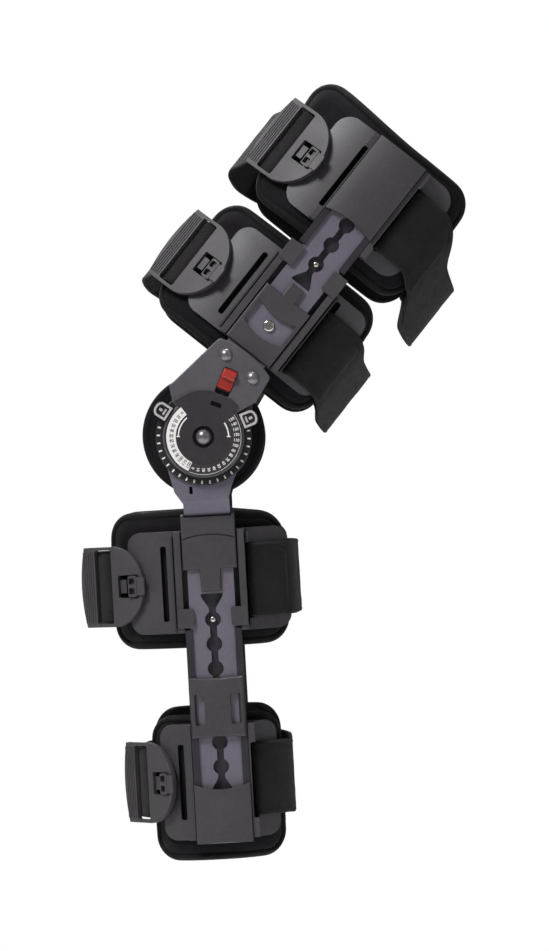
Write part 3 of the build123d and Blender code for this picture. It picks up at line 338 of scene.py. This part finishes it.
def pad_sheet(s, nx=30, ny=21):
    """Points of one sheet of the pad in the side view, its rings first and then its inner grid."""
    u_a, u_b, w_a, w_b = s["pad"]
    hx, hy, r = (u_b - u_a) / 2, (w_b - w_a) / 2, s["pad_r"]
    cx, cy = (u_a + u_b) / 2, (w_a + w_b) / 2
    rings = [rr_perimeter(hx - d, hy - d, r - d, nx, ny) for d in RINGS]
    last = rr_perimeter(hx - 15.0, hy - 15.0, r - 15.0, nx, ny)
    B = [last[i] for i in range(nx + 1)]
    R = [last[nx + j] for j in range(ny + 1)]
    T = [last[nx + ny + i] for i in range(nx + 1)][::-1]
    Lf = [last[(2 * nx + ny + j) % len(last)] for j in range(ny + 1)][::-1]
    grid = []
    for j in range(ny + 1):
        v = j / ny
        for i in range(nx + 1):
            h = i / nx
            x = ((1 - v) * B[i][0] + v * T[i][0] + (1 - h) * Lf[j][0] + h * R[j][0]
                 - ((1 - h) * (1 - v) * B[0][0] + h * (1 - v) * B[-1][0] + (1 - h) * v * T[0][0] + h * v * T[-1][0]))
            y = ((1 - v) * B[i][1] + v * T[i][1] + (1 - h) * Lf[j][1] + h * R[j][1]
                 - ((1 - h) * (1 - v) * B[0][1] + h * (1 - v) * B[-1][1] + (1 - h) * v * T[0][1] + h * v * T[-1][1]))
            grid.append((x, y))
    n = 2 * (nx + ny)
    pts = [p for ring in rings for p in ring] + grid
    faces = []
    for k in range(len(RINGS) - 1):
        for i in range(n):
            a, b = k * n + i, k * n + (i + 1) % n
            faces.append((a, b, b + n, a + n))
    g0 = len(RINGS) * n

    def edge_of_grid(i):
        if i <= nx:
            return g0 + i
        if i <= nx + ny:
            return g0 + (i - nx) * (nx + 1) + nx
        if i <= 2 * nx + ny:
            return g0 + ny * (nx + 1) + (2 * nx + ny - i)
        return g0 + (n - i) * (nx + 1)
    k = len(RINGS) - 1
    for i in range(n):
        a, b = k * n + i, k * n + (i + 1) % n
        faces.append((a, b, edge_of_grid((i + 1) % n), edge_of_grid(i)))
    for j in range(ny):
        for i in range(nx):
            a = g0 + j * (nx + 1) + i
            faces.append((a, a + 1, a + nx + 2, a + nx + 1))
    depth = [rr_depth(x, y, hx, hy, r) for x, y in pts]

    def ramp(a, b, x):
        x = min(1.0, max(0.0, (x - a) / (b - a)))
        return x * x * (3 - 2 * x)
    out = []
    for x, y in pts:
        if s is ST["thigh_upper"]:
            # the front top corner stands out beyond the rectangle
            k = ramp(0.0, 0.95, y / hy) * ramp(-0.2, 0.95, -x / hx)
            x, y = x - 8.0 * k, y + 5.0 * k
        elif s is ST["calf_upper"]:
            # the rear top corner is cut back
            k = ramp(0.1, 1.0, -y / hy) * ramp(0.1, 1.0, x / hx)
            x, y = x - 1.5 * k, y + 4.5 * k
        out.append((x + cx, y + cy))
    return out, depth, faces, n


def shell_point(s, u, w, z):
    """Point z mm above the pad's inner face, under the side-view point (u, w); returns the point and its outward direction."""
    A, B = s["a"] + s["tp"], s["b"] + s["tp"]
    y = ell(s, s["tp"], u)
    nx_, ny_ = (u - s["u0"]) / A ** 2, y / B ** 2
    q = math.hypot(nx_, ny_)
    nx_, ny_ = nx_ / q, ny_ / q
    return (u + nx_ * (z - s["tp"]), y + ny_ * (z - s["tp"]), w), (nx_, ny_)


def under_plate(s, u, w, m=0.0):
    p = s["plate"]
    return p[0] - m < u < p[1] + m and p[2] - m < w < p[3] + m


def simulate(o, frames, pressure, cap):
    """Cloth pressure fills the closed pad; every point then moves at most cap."""
    sc = bpy.context.scene
    rest = [v.co.copy() for v in o.data.vertices]
    cm = o.modifiers.new("fill", "CLOTH")
    c = cm.settings
    c.quality = 4
    c.mass = 0.12
    c.tension_stiffness = c.compression_stiffness = 12
    c.shear_stiffness = 6
    c.bending_stiffness = 1.2
    c.use_pressure = True
    c.uniform_pressure_force = pressure
    c.effector_weights.gravity = 0
    c.shrink_min = -0.03
    cm.collision_settings.use_collision = False
    sc.frame_start, sc.frame_end = 1, frames
    cm.point_cache.frame_start, cm.point_cache.frame_end = 1, frames
    for f in range(1, frames + 1):
        sc.frame_set(f)
    dg = bpy.context.evaluated_depsgraph_get()
    ev = o.evaluated_get(dg)
    got = [v.co.copy() for v in ev.data.vertices]
    o.modifiers.remove(cm)
    sc.frame_set(1)
    mv = 0.0
    for i, (a, b) in enumerate(zip(rest, got)):
        dv = b - a
        mv += dv.length
        if dv.length > cap:
            dv *= cap / dv.length
        o.data.vertices[i].co = a + dv
    print(o.name, "mean cloth movement mm", round(mv / len(rest) * 1000, 2))


def make_pad(key):
    s = ST[key]
    pts, depth, faces, n = pad_sheet(s)
    seg, tp = s["seg"], s["tp"]
    N1 = len(pts)
    verts, info = [], []
    for top in (True, False):
        for (u, w), d in zip(pts, depth):
            tab = TOP if top else BOT
            z = lerp_table(tab, d) * tp
            p, nn = shell_point(s, u, w, z)
            verts.append(world(seg, *p))
            info.append((u, w, d, top, nn))
    # rim: one ring of points between the sheets, slightly proud of the outline
    rim0 = 2 * N1
    for i in range(n):
        u, w = pts[i]
        c = ((s["pad"][0] + s["pad"][1]) / 2, (s["pad"][2] + s["pad"][3]) / 2)
        q = pts[i + n]
        e = Vector((u - q[0], w - q[1])).normalized() * 0.7
        p, nn = shell_point(s, u + e.x, w + e.y, 0.37 * tp)
        verts.append(world(seg, *p))
        info.append((u, w, -0.7, True, nn))
    # the sheets run anticlockwise in (u, w); which way is out depends on the segment's axes
    out = [tuple(f) for f in faces] + [tuple(reversed([i + N1 for i in f])) for f in faces]
    for i in range(n):
        j = (i + 1) % n
        out.append((rim0 + i, rim0 + j, j, i))
        out.append((N1 + i, N1 + j, rim0 + j, rim0 + i))
    if seg:
        out = [tuple(reversed(f)) for f in out]
    o = add_mesh(key + "_pad_lateral", verts, out, "foam")
    simulate(o, 14, 3.0, 0.0011)
    # quilting, binding seam and soft creases after the fill
    centre_u = (s["pad"][0] + s["pad"][1]) / 2
    for i, v in enumerate(o.data.vertices):
        u, w, d, top, nn = info[i]
        nrm = world(seg, nn[0], nn[1], 0)
        nrm.normalize()
        amt = 0.0
        if top:
            for dd, g, wd in ((4.3, 1.15, 0.55), (10.2, 0.35, 0.9)):
                amt -= g * math.exp(-((d - dd) / wd) ** 2)
            q = v.co * 1000
            crease = noise.noise(q * 0.055 + Vector((3.1, 0, 7.7))) * 0.9 + noise.noise(q * 0.14) * 0.35
            k = max(0.0, min(1.0, (d - 4.8) / 5.0)) if d > 4.8 else 0.25
            amt += crease * k
            if under_plate(s, u, w, 3.0):
                ref, _ = shell_point(s, u, w, tp - 0.15)
                refw = world(seg, *ref)
                cur = (v.co + nrm * amt * 0.001 - refw).dot(nrm)
                if cur > 0:
                    amt -= cur * 1000
        v.co += nrm * amt * 0.001
    if len(o.data.materials) < 2:
        o.data.materials.append(M["bind"])
    bind = [(info[f.vertices[0]][2] + info[f.vertices[1]][2] + info[f.vertices[2]][2] + info[f.vertices[3]][2]) / 4 < 4.2
            for f in o.data.polygons]
    o.data.polygons.foreach_set("material_index", [1 if b else 0 for b in bind])
    sub = o.modifiers.new("round", "SUBSURF")
    sub.levels = sub.render_levels = 1
    me2 = o.data.copy()
    o2 = bpy.data.objects.new(key + "_pad_medial", me2)
    bpy.context.scene.collection.objects.link(o2)
    for v in me2.vertices:
        v.co.y = -v.co.y
    me2.flip_normals()
    sub = o2.modifiers.new("round", "SUBSURF")
    sub.levels = sub.render_levels = 1
    for ob in (o, o2):
        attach(ob, BODY[key])
        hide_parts(key + "_pads")
    return o


for key in ST:
    make_pad(key)


def make_condyle(side):
    """Round foam pad behind the hinge, with a bound rim."""
    lo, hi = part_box("condyle_pads")
    cu, cw, R = -1.0, 1.0, 41.0
    y_in, y_out = 59.2, 75.85
    prof = [(0.0, 1.0), (12, 1.0), (22, 1.0), (29, 0.995), (33.0, 0.975), (35.2, 0.945), (36.2, 0.905), (36.9, 0.93), (38.4, 0.93),
            (40.0, 0.90), (41.0, 0.80), (41.3, 0.62), (41.2, 0.40), (41.0, 0.22), (39.8, 0.08), (37.0, 0.02), (30, 0.0), (18, 0.0), (0.0, 0.0)]
    nseg = 96
    verts, faces, rads = [], [], []
    rows = []
    for r, z in prof:
        if r == 0:
            rows.append([len(verts)])
            verts.append((cu, y_in + (y_out - y_in) * z, cw))
            rads.append(0)
            continue
        row = []
        for k in range(nseg):
            a = 2 * math.pi * k / nseg
            u, w = cu + r * math.cos(a), cw + r * math.sin(a)
            y = y_in + (y_out - y_in) * z
            if 0.2 < z < 0.95 and r > 35:
                y += 0.5 * noise.noise(Vector((u, y, w)) * 0.16)
            row.append(len(verts))
            verts.append((u, y, w))
            rads.append(r)
        rows.append(row)
    for a, b in zip(rows, rows[1:]):
        for k in range(nseg):
            j = (k + 1) % nseg
            if len(a) == 1:
                faces.append((a[0], b[k], b[j]))
            elif len(b) == 1:
                faces.append((a[k], b[0], a[j]))
            else:
                faces.append((a[k], b[k], b[j], a[j]))
    vs = [world(THIGH, u, y * side, w) for u, y, w in verts]
    if side < 0:
        faces = [tuple(reversed(f)) for f in faces]
    o = add_mesh("condyle_pad_" + ("lateral" if side > 0 else "medial"), vs, faces, "foam")
    sub = o.modifiers.new("round", "SUBSURF")
    sub.levels = sub.render_levels = 1
    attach(o, "thigh")
    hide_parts("condyle_pads")


make_condyle(1)
make_condyle(-1)


# ------------------------------------------------------------------ straps
def hull(points):
    pts = sorted(set((round(x, 4), round(y, 4)) for x, y in points))

    def half(seq):
        out = []
        for p in seq:
            while len(out) > 1 and ((out[-1][0] - out[-2][0]) * (p[1] - out[-2][1])
                                    - (out[-1][1] - out[-2][1]) * (p[0] - out[-2][0])) <= 0:
                out.pop()
            out.append(p)
        return out
    lo, hi = half(pts), half(reversed(pts))
    return lo[:-1] + hi[:-1]


def wrap_points(s):
    pts = []
    for k in range(0, 361, 3):
        t = math.radians(k)
        pts.append((s["u0"] + s["a"] * math.cos(t), s["b"] * math.sin(t)))
    for lo, hi, g in ((s["pad"][0], s["pad"][1], s["tp"]), (s["plate"][0], s["plate"][1], s["tp"] + 3.25)):
        for i in range(41):
            x = lo + (hi - lo) * i / 40
            y = ell(s, g, x)
            pts += [(x, y), (x, -y)]
    return pts


def length(path):
    return sum(math.dist(a, b) for a, b in zip(path, path[1:]))


def resample(path, step):
    L = length(path)
    n = max(3, int(round(L / step)))
    out, acc, k = [path[0]], 0.0, 0
    for i in range(1, n):
        target = L * i / n
        while k < len(path) - 2 and acc + math.dist(path[k], path[k + 1]) < target:
            acc += math.dist(path[k], path[k + 1])
            k += 1
        q = math.dist(path[k], path[k + 1])
        f = (target - acc) / q if q > 1e-9 else 0
        f = max(0.0, min(1.0, f))
        out.append((path[k][0] + (path[k + 1][0] - path[k][0]) * f, path[k][1] + (path[k + 1][1] - path[k][1]) * f))
    return out + [path[-1]]


def smooth(path, rounds):
    for _ in range(rounds):
        path = [path[0]] + [((a[0] + 2 * b[0] + c[0]) / 4, (a[1] + 2 * b[1] + c[1]) / 4)
                            for a, b, c in zip(path, path[1:], path[2:])] + [path[-1]]
    return path


def normals(path):
    out = []
    for i in range(len(path)):
        a, b = path[max(i - 1, 0)], path[min(i + 1, len(path) - 1)]
        tx, ty = b[0] - a[0], b[1] - a[1]
        q = math.hypot(tx, ty) or 1e-9
        out.append((-ty / q, tx / q))
    return out


def offset(path, d):
    return [(p[0] + m[0] * d, p[1] + m[1] * d) for p, m in zip(path, normals(path))]


def ribbon(name, s, path, w0, w1, th, shift=None, round_end=(0.0, 0.0), mat="strap", body=None, sink=0.0, seam=True, seed=0.0, ridge=0.18):
    """Webbing swept along a path of the cross-section, outwards to the path's left."""
    seg = s["seg"]
    nr = normals(path)
    L = length(path)
    hw = (w1 - w0) / 2
    wm = (w0 + w1) / 2
    across = [0.0, 0.35, 0.9, 1.6, 2.4, 3.2, 4.2]
    mid = [4.2 + (2 * hw - 8.4) * i / 12 for i in range(1, 12)]
    xs = across + mid + [2 * hw - a for a in reversed(across)]
    prof = []
    for x in xs:
        e = min(x, 2 * hw - x)
        k = 1.0 if e > 1.0 else math.sqrt(max(0.0, 1 - (1 - e / 1.0) ** 2)) * 0.95 + 0.05
        top = th / 2 * k + ((ridge * math.exp(-((e - 1.6) / 0.7) ** 2) - ridge * 0.9 * math.exp(-((e - 3.0) / 0.5) ** 2)) if seam else 0)
        prof.append((x - hw, top))
    prof += [(x - hw, -th / 2 * (1.0 if min(x, 2 * hw - x) > 1.0 else math.sqrt(max(0.0, 1 - (1 - min(x, 2 * hw - x)) ** 2)) * 0.95 + 0.05))
             for x in reversed(xs[1:-1])]
    m = len(prof)
    verts, faces = [], []
    acc = 0.0
    for i, (p, nn) in enumerate(zip(path, nr)):
        if i:
            acc += math.dist(path[i - 1], p)
        k = 1.0
        for dist, r in ((acc, round_end[0]), (L - acc, round_end[1])):
            if r and dist < r:
                k = min(k, (hw - r + math.sqrt(max(0.0, r * r - (r - dist) ** 2))) / hw)
        endk = min(1.0, 0.35 + min(acc, L - acc) / 1.2)
        dw = shift(acc, L) if shift else 0.0
        for x, z in prof:
            q = Vector((p[0], p[1], wm + x)) * 0.09 + Vector((seed, 0, 0))
            lump = 0.30 * noise.noise(q) + 0.12 * noise.noise(q * 3.1)
            zz = z * endk + lump * (1 if z > 0 else 0.6)
            verts.append(world(seg, p[0] + nn[0] * zz, p[1] + nn[1] * zz, wm + dw + x * k))
    R = len(path)
    for i in range(R - 1):
        for j in range(m):
            a, b = i * m + j, i * m + (j + 1) % m
            faces.append((a, b, b + m, a + m))
    half = len(xs)
    for end in (0, R - 1):
        o_ = end * m
        for j in range(half - 1):
            a, b = o_ + j, o_ + j + 1
            c, d_ = o_ + (m - j - 1) % m if j + 1 < half - 1 else None, None
            lowa = o_ + (m - j) % m
            lowb = o_ + (m - j - 1) if j + 1 < half - 1 else b
            ids = []
            for t_ in (a, b, lowb, lowa):
                if t_ not in ids:
                    ids.append(t_)
            if len(ids) > 2:
                faces.append(tuple(ids if end == 0 else reversed(ids)))
    o = add_mesh(name, verts, faces, mat)
    import bmesh
    bm = bmesh.new()
    bm.from_mesh(o.data)
    bmesh.ops.recalc_face_normals(bm, faces=bm.faces)
    bm.to_mesh(o.data)
    bm.free()
    return o


def front_strap(key):
    s = ST[key]
    t, n, og = s["t"], s["n"], s["origin"]

    def B(tt, nn):
        return (og[0] + t[0] * tt + n[0] * nn, og[1] + t[1] * tt + n[1] * nn)
    g = s["tp"] + 3.25
    start = B(46, BUCKLE_T / 2)
    start = (start[0] - n[0] * 6.8, start[1] - n[1] * 6.8)
    h = hull(wrap_points(s) + [start])
    su = s["fslot"][0]
    keep = [p for p in h if p[0] < su - 4 and p[1] < start[1] - 3.0]
    body = sorted(keep, key=lambda p: -math.atan2(p[1], -(p[0] - su - 20)))
    body = smooth(resample([start] + body + [(su - 3.0, -ell(s, g, su - 3.0))], 2.5), 3)
    off = offset(body, 1.9)
    c = (s["u0"], 0)
    if math.dist(off[len(off) // 2], c) < math.dist(body[len(body) // 2], c):
        off = offset(body, -1.9)
    body = off
    # the strap comes up into the opening, runs under the bar and on around the leg
    loop = [B(30.0, -5.6), B(27.6, -4.6), B(26.9, -3.0), B(27.0, -1.2), B(28.2, 0.1), B(30.5, 0.55), B(34.0, 0.35), B(37.0, -0.6),
            B(39.5, -1.6), B(42.0, -2.1), B(46.0, -2.5), B(50.0, -2.9), B(54.0, -3.6)]
    lim = B(58.0, -4.5)[1]
    main = [p for p in body if p[1] < lim]
    end_u = su - 0.4
    path = loop + main + [(su - 1.4, -(ell(s, g, su - 1.4) + 1.5)), (end_u, -(ell(s, g, su) - 0.6)), (su + 0.2, -(ell(s, g, su) - 3.2))]
    path = smooth(resample(path, 1.6), 2)
    A = s["fshift"]
    tab = length(loop)

    def shift(a, L):
        x = max(0.0, a - tab) / (L - tab)
        return A * math.sin(math.pi * min(1.0, x)) * min(1.0, x / 0.12)
    o = ribbon(key + "_front_strap_webbing", s, path, s["strap"][0] + 0.6, s["strap"][1] - 0.6, 2.0, shift, (0.0, 0.0), seed=len(key) * 1.7)
    return o, s, B


def rear_strap(key):
    s = ST[key]
    g = s["tp"] + 3.25
    su = s["rslot"][0]
    h = hull(wrap_points(s))
    keep = [p for p in h if p[0] > su + 3.0]
    keep = sorted(keep, key=lambda p: -math.atan2(p[1], p[0] - su + 20))
    line = [(su + 1.5, ell(s, g, su + 1.5))] + keep + [(su + 1.5, -ell(s, g, su + 1.5))]
    line = smooth(resample(line, 2.5), 3)
    c = (s["u0"], 0)
    off = offset(line, 1.75)
    sg = 1.0
    if math.dist(off[len(off) // 2], c) < math.dist(line[len(line) // 2], c):
        sg = -1.0
    base = smooth(resample(offset(line, 1.75 * sg), 2.0), 1)
    A = s["rshift"]
    w0, w1 = s["rslot"][1] + 0.6, s["rslot"][2] - 0.6
    if w1 - w0 > 51:
        w0, w1 = s["strap"][0] + 0.5, s["strap"][1] + 2.0

    def slant(x):
        x = min(1.0, max(0.0, x))
        t = min(1.0, max(0.0, (min(x, 1 - x) - 0.10) / 0.20))
        return A * math.sin(math.pi * x) * t * t * (3 - 2 * t)

    def shift(a, L):
        return slant(a / L)
    o = ribbon(key + "_rear_strap_webbing", s, base, w0, w1, 2.0, shift, seed=len(key) * 2.3)
    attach(o, BODY[key])
    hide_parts(key + "_rear_strap")
    L = length(base)
    pieces = []
    for side in (1, -1):
        ln = line if side > 0 else [(p[0], -p[1]) for p in reversed(line)]
        ln = [(p[0], p[1] * (1 if side > 0 else 1)) for p in line] if side > 0 else [(p[0], p[1]) for p in reversed(line)]
        sgn = sg if side > 0 else -sg
        lifted = offset(ln, sgn * 4.15)
        run, acc = [], 0.0
        for i, p in enumerate(lifted):
            if i:
                acc += math.dist(lifted[i - 1], p)
            if side > 0 and p[0] > s["patch"][0] or side < 0 and p[0] > s["patch"][0] or (len(run) > 4 and abs(p[1]) < 16):
                break
            run.append(p)
        if len(run) < 4:
            continue
        yy = ell(s, g, su)
        dive = [(su + 0.5, side * (yy - 4.0)), (su + 0.1, side * (yy - 1.5)), (su - 0.2, side * (yy + 1.2)), (su + 0.4, side * (yy + 2.9)), (su + 1.6, side * (yy + 3.8))]
        path = dive + [p for p in run if p[0] > su + 3.4]
        path = smooth(resample(path, 1.4), 2)
        tail = length(dive)

        def shift2(a, Lp, tail=tail):
            return slant((a - tail * 0.6) / L)
        o2 = ribbon(key + "_rear_fold_" + ("lateral" if side > 0 else "medial"), s, path, w0 + 0.4, w1 - 0.4, 2.3, shift2,
                    (0.0, 7.0), seed=side * 5.0 + len(key), ridge=0.3)
        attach(o2, BODY[key])
        pieces.append(o2)
    return o


for key in ST:
    o, s, B = front_strap(key)
    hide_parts(key + "_front_strap")
    # points where the strap meets the buckle are worked out here but not used further; the strap's transform is baked
    # into its mesh
    e0, e1 = B(62.0, -2.0), B(53.0, -2.0)
    start = world(s["seg"], e1[0], e0[1], s["tip"][1])
    end = world(s["seg"], e1[0], e1[1], s["tip"][1])
    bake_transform(o)
    rear_strap(key)


# ------------------------------------------------------------------ printing on the hinge
def ring_point(r, img_deg, y, side):
    a = math.radians(img_deg - ROLL)
    return Vector((r * math.cos(a), -y * side, r * math.sin(a))) * 0.001


def arc_band(verts, faces, r0, r1, a0, a1, y, th, side, step=3.0):
    """Thin raised band between two radii and two angles."""
    k = max(1, int(math.ceil(abs(a1 - a0) / step)))
    base = len(verts)
    for i in range(k + 1):
        a = a0 + (a1 - a0) * i / k
        verts += [ring_point(r0, a, y - 0.05, side), ring_point(r0, a, y + th, side), ring_point(r1, a, y + th, side), ring_point(r1, a, y - 0.05, side)]
    for i in range(k):
        b = base + 4 * i
        for j in range(4):
            q = (b + j, b + (j + 1) % 4, b + 4 + (j + 1) % 4, b + 4 + j)
            faces.append(q if side < 0 else tuple(reversed(q)))
    e = base + 4 * k
    q0, q1 = (base, base + 3, base + 2, base + 1), (e, e + 1, e + 2, e + 3)
    faces.append(q0 if side < 0 else tuple(reversed(q0)))
    faces.append(q1 if side < 0 else tuple(reversed(q1)))


def tick(verts, faces, r0, r1, a, wd, y, th, side):
    da = math.degrees(wd / 2 / ((r0 + r1) / 2))
    arc_band(verts, faces, r0, r1, a - da, a + da, y, th, side, step=90)


Y_DIAL = Y_HINGE + 13.0
Y_RING = Y_HINGE + 7.8
for side, nm in ((1, "lateral"), (-1, "medial")):
    v, f = [], []
    arc_band(v, f, 18.5, 24.8, 127, 246, Y_DIAL, 0.10, side)
    add_piece("dial_label_" + nm, v, f, "white", "thigh", smooth=False)
    v, f = [], []
    arc_band(v, f, 18.7, 25.7, 246.6, 398, Y_DIAL, 0.05, side)
    add_piece("dial_band_" + nm, v, f, "ink", "thigh", smooth=False)
    v, f = [], []
    arc_band(v, f, 24.95, 25.2, 248, 396, Y_DIAL + 0.05, 0.07, side)
    arc_band(v, f, 16.3, 17.2, 2, 34, Y_DIAL, 0.08, side)
    tick(v, f, 15.6, 18.0, 1.0, 0.8, Y_DIAL, 0.08, side)
    arc_band(v, f, 16.4, 17.3, 131, 178, Y_DIAL, 0.08, side)
    tick(v, f, 15.8, 18.0, 179.0, 0.8, Y_DIAL, 0.08, side)
    add_piece("dial_scale_" + nm, v, f, "white", "thigh", smooth=False)
    v, f = [], []
    for k in range(21):
        tick(v, f, 29.2, 31.4, 168.0 + k * 10.0, 1.0, Y_RING, 0.12, side)
    add_piece("ring_ticks_" + nm, v, f, "white", "thigh", smooth=False)
    # plain angle numbers on the label and on the dark band
    for what, first, step, count, mat, r_mid, size, lift, start in (
            ("label", 131.5, 9.2, 13, "ink", 21.4, 2.9, 0.12, 0), ("band", 251.5, 9.4, 16, "white", 22.0, 2.7, 0.06, 0)):
        v, f = [], []
        for k in range(count):
            cu = bpy.data.curves.new("n", "FONT")
            cu.body = str(start + 10 * k)
            cu.size = size
            cu.align_x = "CENTER"
            cu.align_y = "CENTER"
            cu.extrude = 0.05
            cu.offset = 0.06
            cu.resolution_u = 2
            tmp = bpy.data.objects.new("n", cu)
            bpy.context.scene.collection.objects.link(tmp)
            dg = bpy.context.evaluated_depsgraph_get()
            me = bpy.data.meshes.new_from_object(tmp.evaluated_get(dg))
            base = len(v)
            ar = math.radians(first + k * step - ROLL)
            for q in me.vertices:
                # the number's baseline runs along the radius, as stamped scales have it
                lx, ly = q.co.y, q.co.x * (1 if side > 0 else -1)
                r = r_mid - ly * (1 if what == "label" else -1)
                tx = lx * (1 if what == "label" else -1) * (-1)
                x = r * math.cos(ar) + tx * math.sin(ar)
                z = r * math.sin(ar) - tx * math.cos(ar)
                v.append(Vector((x, -(Y_DIAL + lift + q.co.z) * side, z)) * 0.001)
            for p in me.polygons:
                f.append(tuple(base + i for i in p.vertices))
            bpy.data.objects.remove(tmp)
            bpy.data.meshes.remove(me)
        add_piece(what + "_numbers_" + nm, v, f, mat, "thigh", smooth=False)
    # painted shade: a near-black ring laid on the floor of the recess round the pivot, standing in for the shadow
    # inside the recess
    v, f = [], []
    for i in range(72):
        for r, y in ((5.15, -0.85), (5.15, -0.72), (7.2, -0.72), (7.2, -0.85)):
            v.append(ring_point(r, 5 * i, Y_DIAL + y, side))
    for i in range(72):
        b, c = 4 * i, 4 * ((i + 1) % 72)
        for j in range(4):
            q = (b + j, b + (j + 1) % 4, c + (j + 1) % 4, c + j)
            f.append(q if side < 0 else tuple(reversed(q)))
    add_piece("pivot_recess_painted_shade_" + nm, v, f, "painted_shadow_black", "thigh", smooth=False)
    # painted shade: a near-black sheet laid in the index slot, standing in for the shadow inside the slot
    v, f = [], []
    a0 = 107.0 - 41.4 + ROLL
    arc_band(v, f, 21.85, 24.55, a0 - 8.9, a0 + 8.9, Y_HINGE + 12.0, 0.15, side)
    add_piece("index_slot_painted_shade_" + nm, v, f, "painted_shadow_black", "thigh", smooth=False)

    # raised outline and arrow mark on each stop's tab
    for stop, deg in (("extension", 185.6), ("flexion", 60.2)):
        v, f = [], []
        th, y = 0.14, Y_HINGE + 7.95 + 4.6
        ang = math.radians(deg)
        loop_o, loop_i = [], []

        def outline(grow):
            out = []
            for px, py in ((28.3 - grow, -4.3 - grow), (28.3 - grow, 4.3 + grow)):
                out.append((px, py))
            for i in range(13):
                th_ = math.radians(90 - 180 * i / 12)
                out.append((34.4 + (3.0 + grow) * math.cos(th_), (4.3 + grow) * math.sin(th_)))
            return out
        oo, ii = outline(0.75), outline(-0.75)
        base = len(v)
        for (ox, oy), (ix, iy) in zip(oo, ii):
            for (px, py), dy in (((ox, oy), -0.05), ((ox, oy), th), ((ix, iy), th), ((ix, iy), -0.05)):
                u_, w_ = px * math.cos(ang) - py * math.sin(ang), px * math.sin(ang) + py * math.cos(ang)
                v.append(world(THIGH, u_, (y + dy) * side, w_))
        k = len(oo)
        for i in range(k):
            a_, b_ = base + 4 * i, base + 4 * ((i + 1) % k)
            for j in range(4):
                q = (a_ + j, a_ + (j + 1) % 4, b_ + (j + 1) % 4, b_ + j)
                f.append(q if side < 0 else tuple(reversed(q)))
        # two bars stand for the letter that is printed inside
        for q0, q1, h0, h1 in ((30.2, 31.5, -2.2, 2.2), (32.6, 35.0, -0.9, 0.9)):
            base = len(v)
            for px, py in ((q0, h0), (q1, h0), (q1, h1), (q0, h1)):
                u_, w_ = px * math.cos(ang) - py * math.sin(ang), px * math.sin(ang) + py * math.cos(ang)
                v.append(world(THIGH, u_, (y - 0.85) * side, w_))
                v.append(world(THIGH, u_, (y - 0.62) * side, w_))
            for fc in ((0, 2, 4, 6), (1, 7, 5, 3), (0, 1, 3, 2), (2, 3, 5, 4), (4, 5, 7, 6), (6, 7, 1, 0)):
                fc = tuple(base + i for i in fc)
                f.append(fc if side > 0 else tuple(reversed(fc)))
        add_piece("stop_outline_" + stop + "_" + nm, v, f, "grey", stop + "_stop_" + nm, smooth=False)

# ------------------------------------------------------------------ stage, light, camera
def floor():
    verts, faces = [Vector((0, 0, -0.62))], []
    radii = [0.3, 0.7, 1.2, 1.6, 1.9]
    for r in radii:
        for i in range(96):
            a = math.radians(3.75 * i)
            verts.append(Vector((r * math.cos(a), r * math.sin(a), -0.62)))
    for i in range(96):
        faces.append((0, 1 + i, 1 + (i + 1) % 96))
    for k in range(len(radii) - 1):
        for i in range(96):
            a, b = 1 + 96 * k + i, 1 + 96 * k + (i + 1) % 96
            faces.append((a, a + 96, b + 96, b))
    me = bpy.data.meshes.new("floor")
    me.from_pydata(verts, [], faces)
    o = bpy.data.objects.new("floor", me)
    bpy.context.scene.collection.objects.link(o)
    m = bpy.data.materials.new("floor_pale")
    m.use_nodes = True
    b = m.node_tree.nodes["Principled BSDF"]
    b.inputs["Base Color"].default_value = (0.93, 0.93, 0.93, 1)
    b.inputs["Roughness"].default_value = 0.9
    me.materials.append(m)


floor()


def area(name, loc, target, size, energy, color=(1, 1, 1)):
    li = bpy.data.lights.new(name, "AREA")
    li.shape = "DISK"
    li.size = size
    li.energy = energy
    li.color = color
    o = bpy.data.objects.new(name, li)
    bpy.context.scene.collection.objects.link(o)
    o.location = loc
    o.rotation_euler = (Vector(target) - Vector(loc)).to_track_quat("-Z", "Y").to_euler()
    return o


area("key", (-1.0, -1.45, 1.9), (0.05, 0, 0), 0.8, 76)
area("fill", (1.9, -1.7, 0.8), (0.05, 0, 0), 1.6, 4)
area("top", (0.3, 0.3, 1.9), (0.05, 0, 0), 1.0, 30)
area("back", (-0.8, 1.9, 1.5), (0.05, 0, 0), 1.2, 40)
w = bpy.data.worlds.new("studio")
bpy.context.scene.world = w
w.use_nodes = True
wn, wl = w.node_tree.nodes, w.node_tree.links
soft = wn["Background"]
soft.inputs["Color"].default_value = (1.0, 1.0, 1.0, 1)
soft.inputs["Strength"].default_value = 0.19
pale = wn.new("ShaderNodeBackground")
pale.inputs["Color"].default_value = (1.0, 1.0, 1.0, 1)
pale.inputs["Strength"].default_value = 1.0
ray, mixer = wn.new("ShaderNodeLightPath"), wn.new("ShaderNodeMixShader")
wl.new(ray.outputs["Is Camera Ray"], mixer.inputs[0])
wl.new(soft.outputs["Background"], mixer.inputs[1])
wl.new(pale.outputs["Background"], mixer.inputs[2])
wl.new(mixer.outputs["Shader"], wn["World Output"].inputs["Surface"])

cam = bpy.data.cameras.new("camera")
co = bpy.data.objects.new("camera", cam)
bpy.context.scene.collection.objects.link(co)
cam.sensor_width = 36.0
cam.lens = 137.0
cam.clip_start, cam.clip_end = 0.05, 50.0
r_ = math.radians(ROLL)
right, up, back = Vector((math.cos(r_), 0, -math.sin(r_))), Vector((math.sin(r_), 0, math.cos(r_))), Vector((0, -1, 0))
mw = Matrix.Identity(4)
for i in range(3):
    mw[i][0], mw[i][1], mw[i][2] = right[i], up[i], back[i]
mw[0][3], mw[1][3], mw[2][3] = 0.0458, -2.5, -0.0283
co.matrix_world = mw
bpy.context.scene.camera = co
bpy.context.scene.view_settings.view_transform = "Standard"
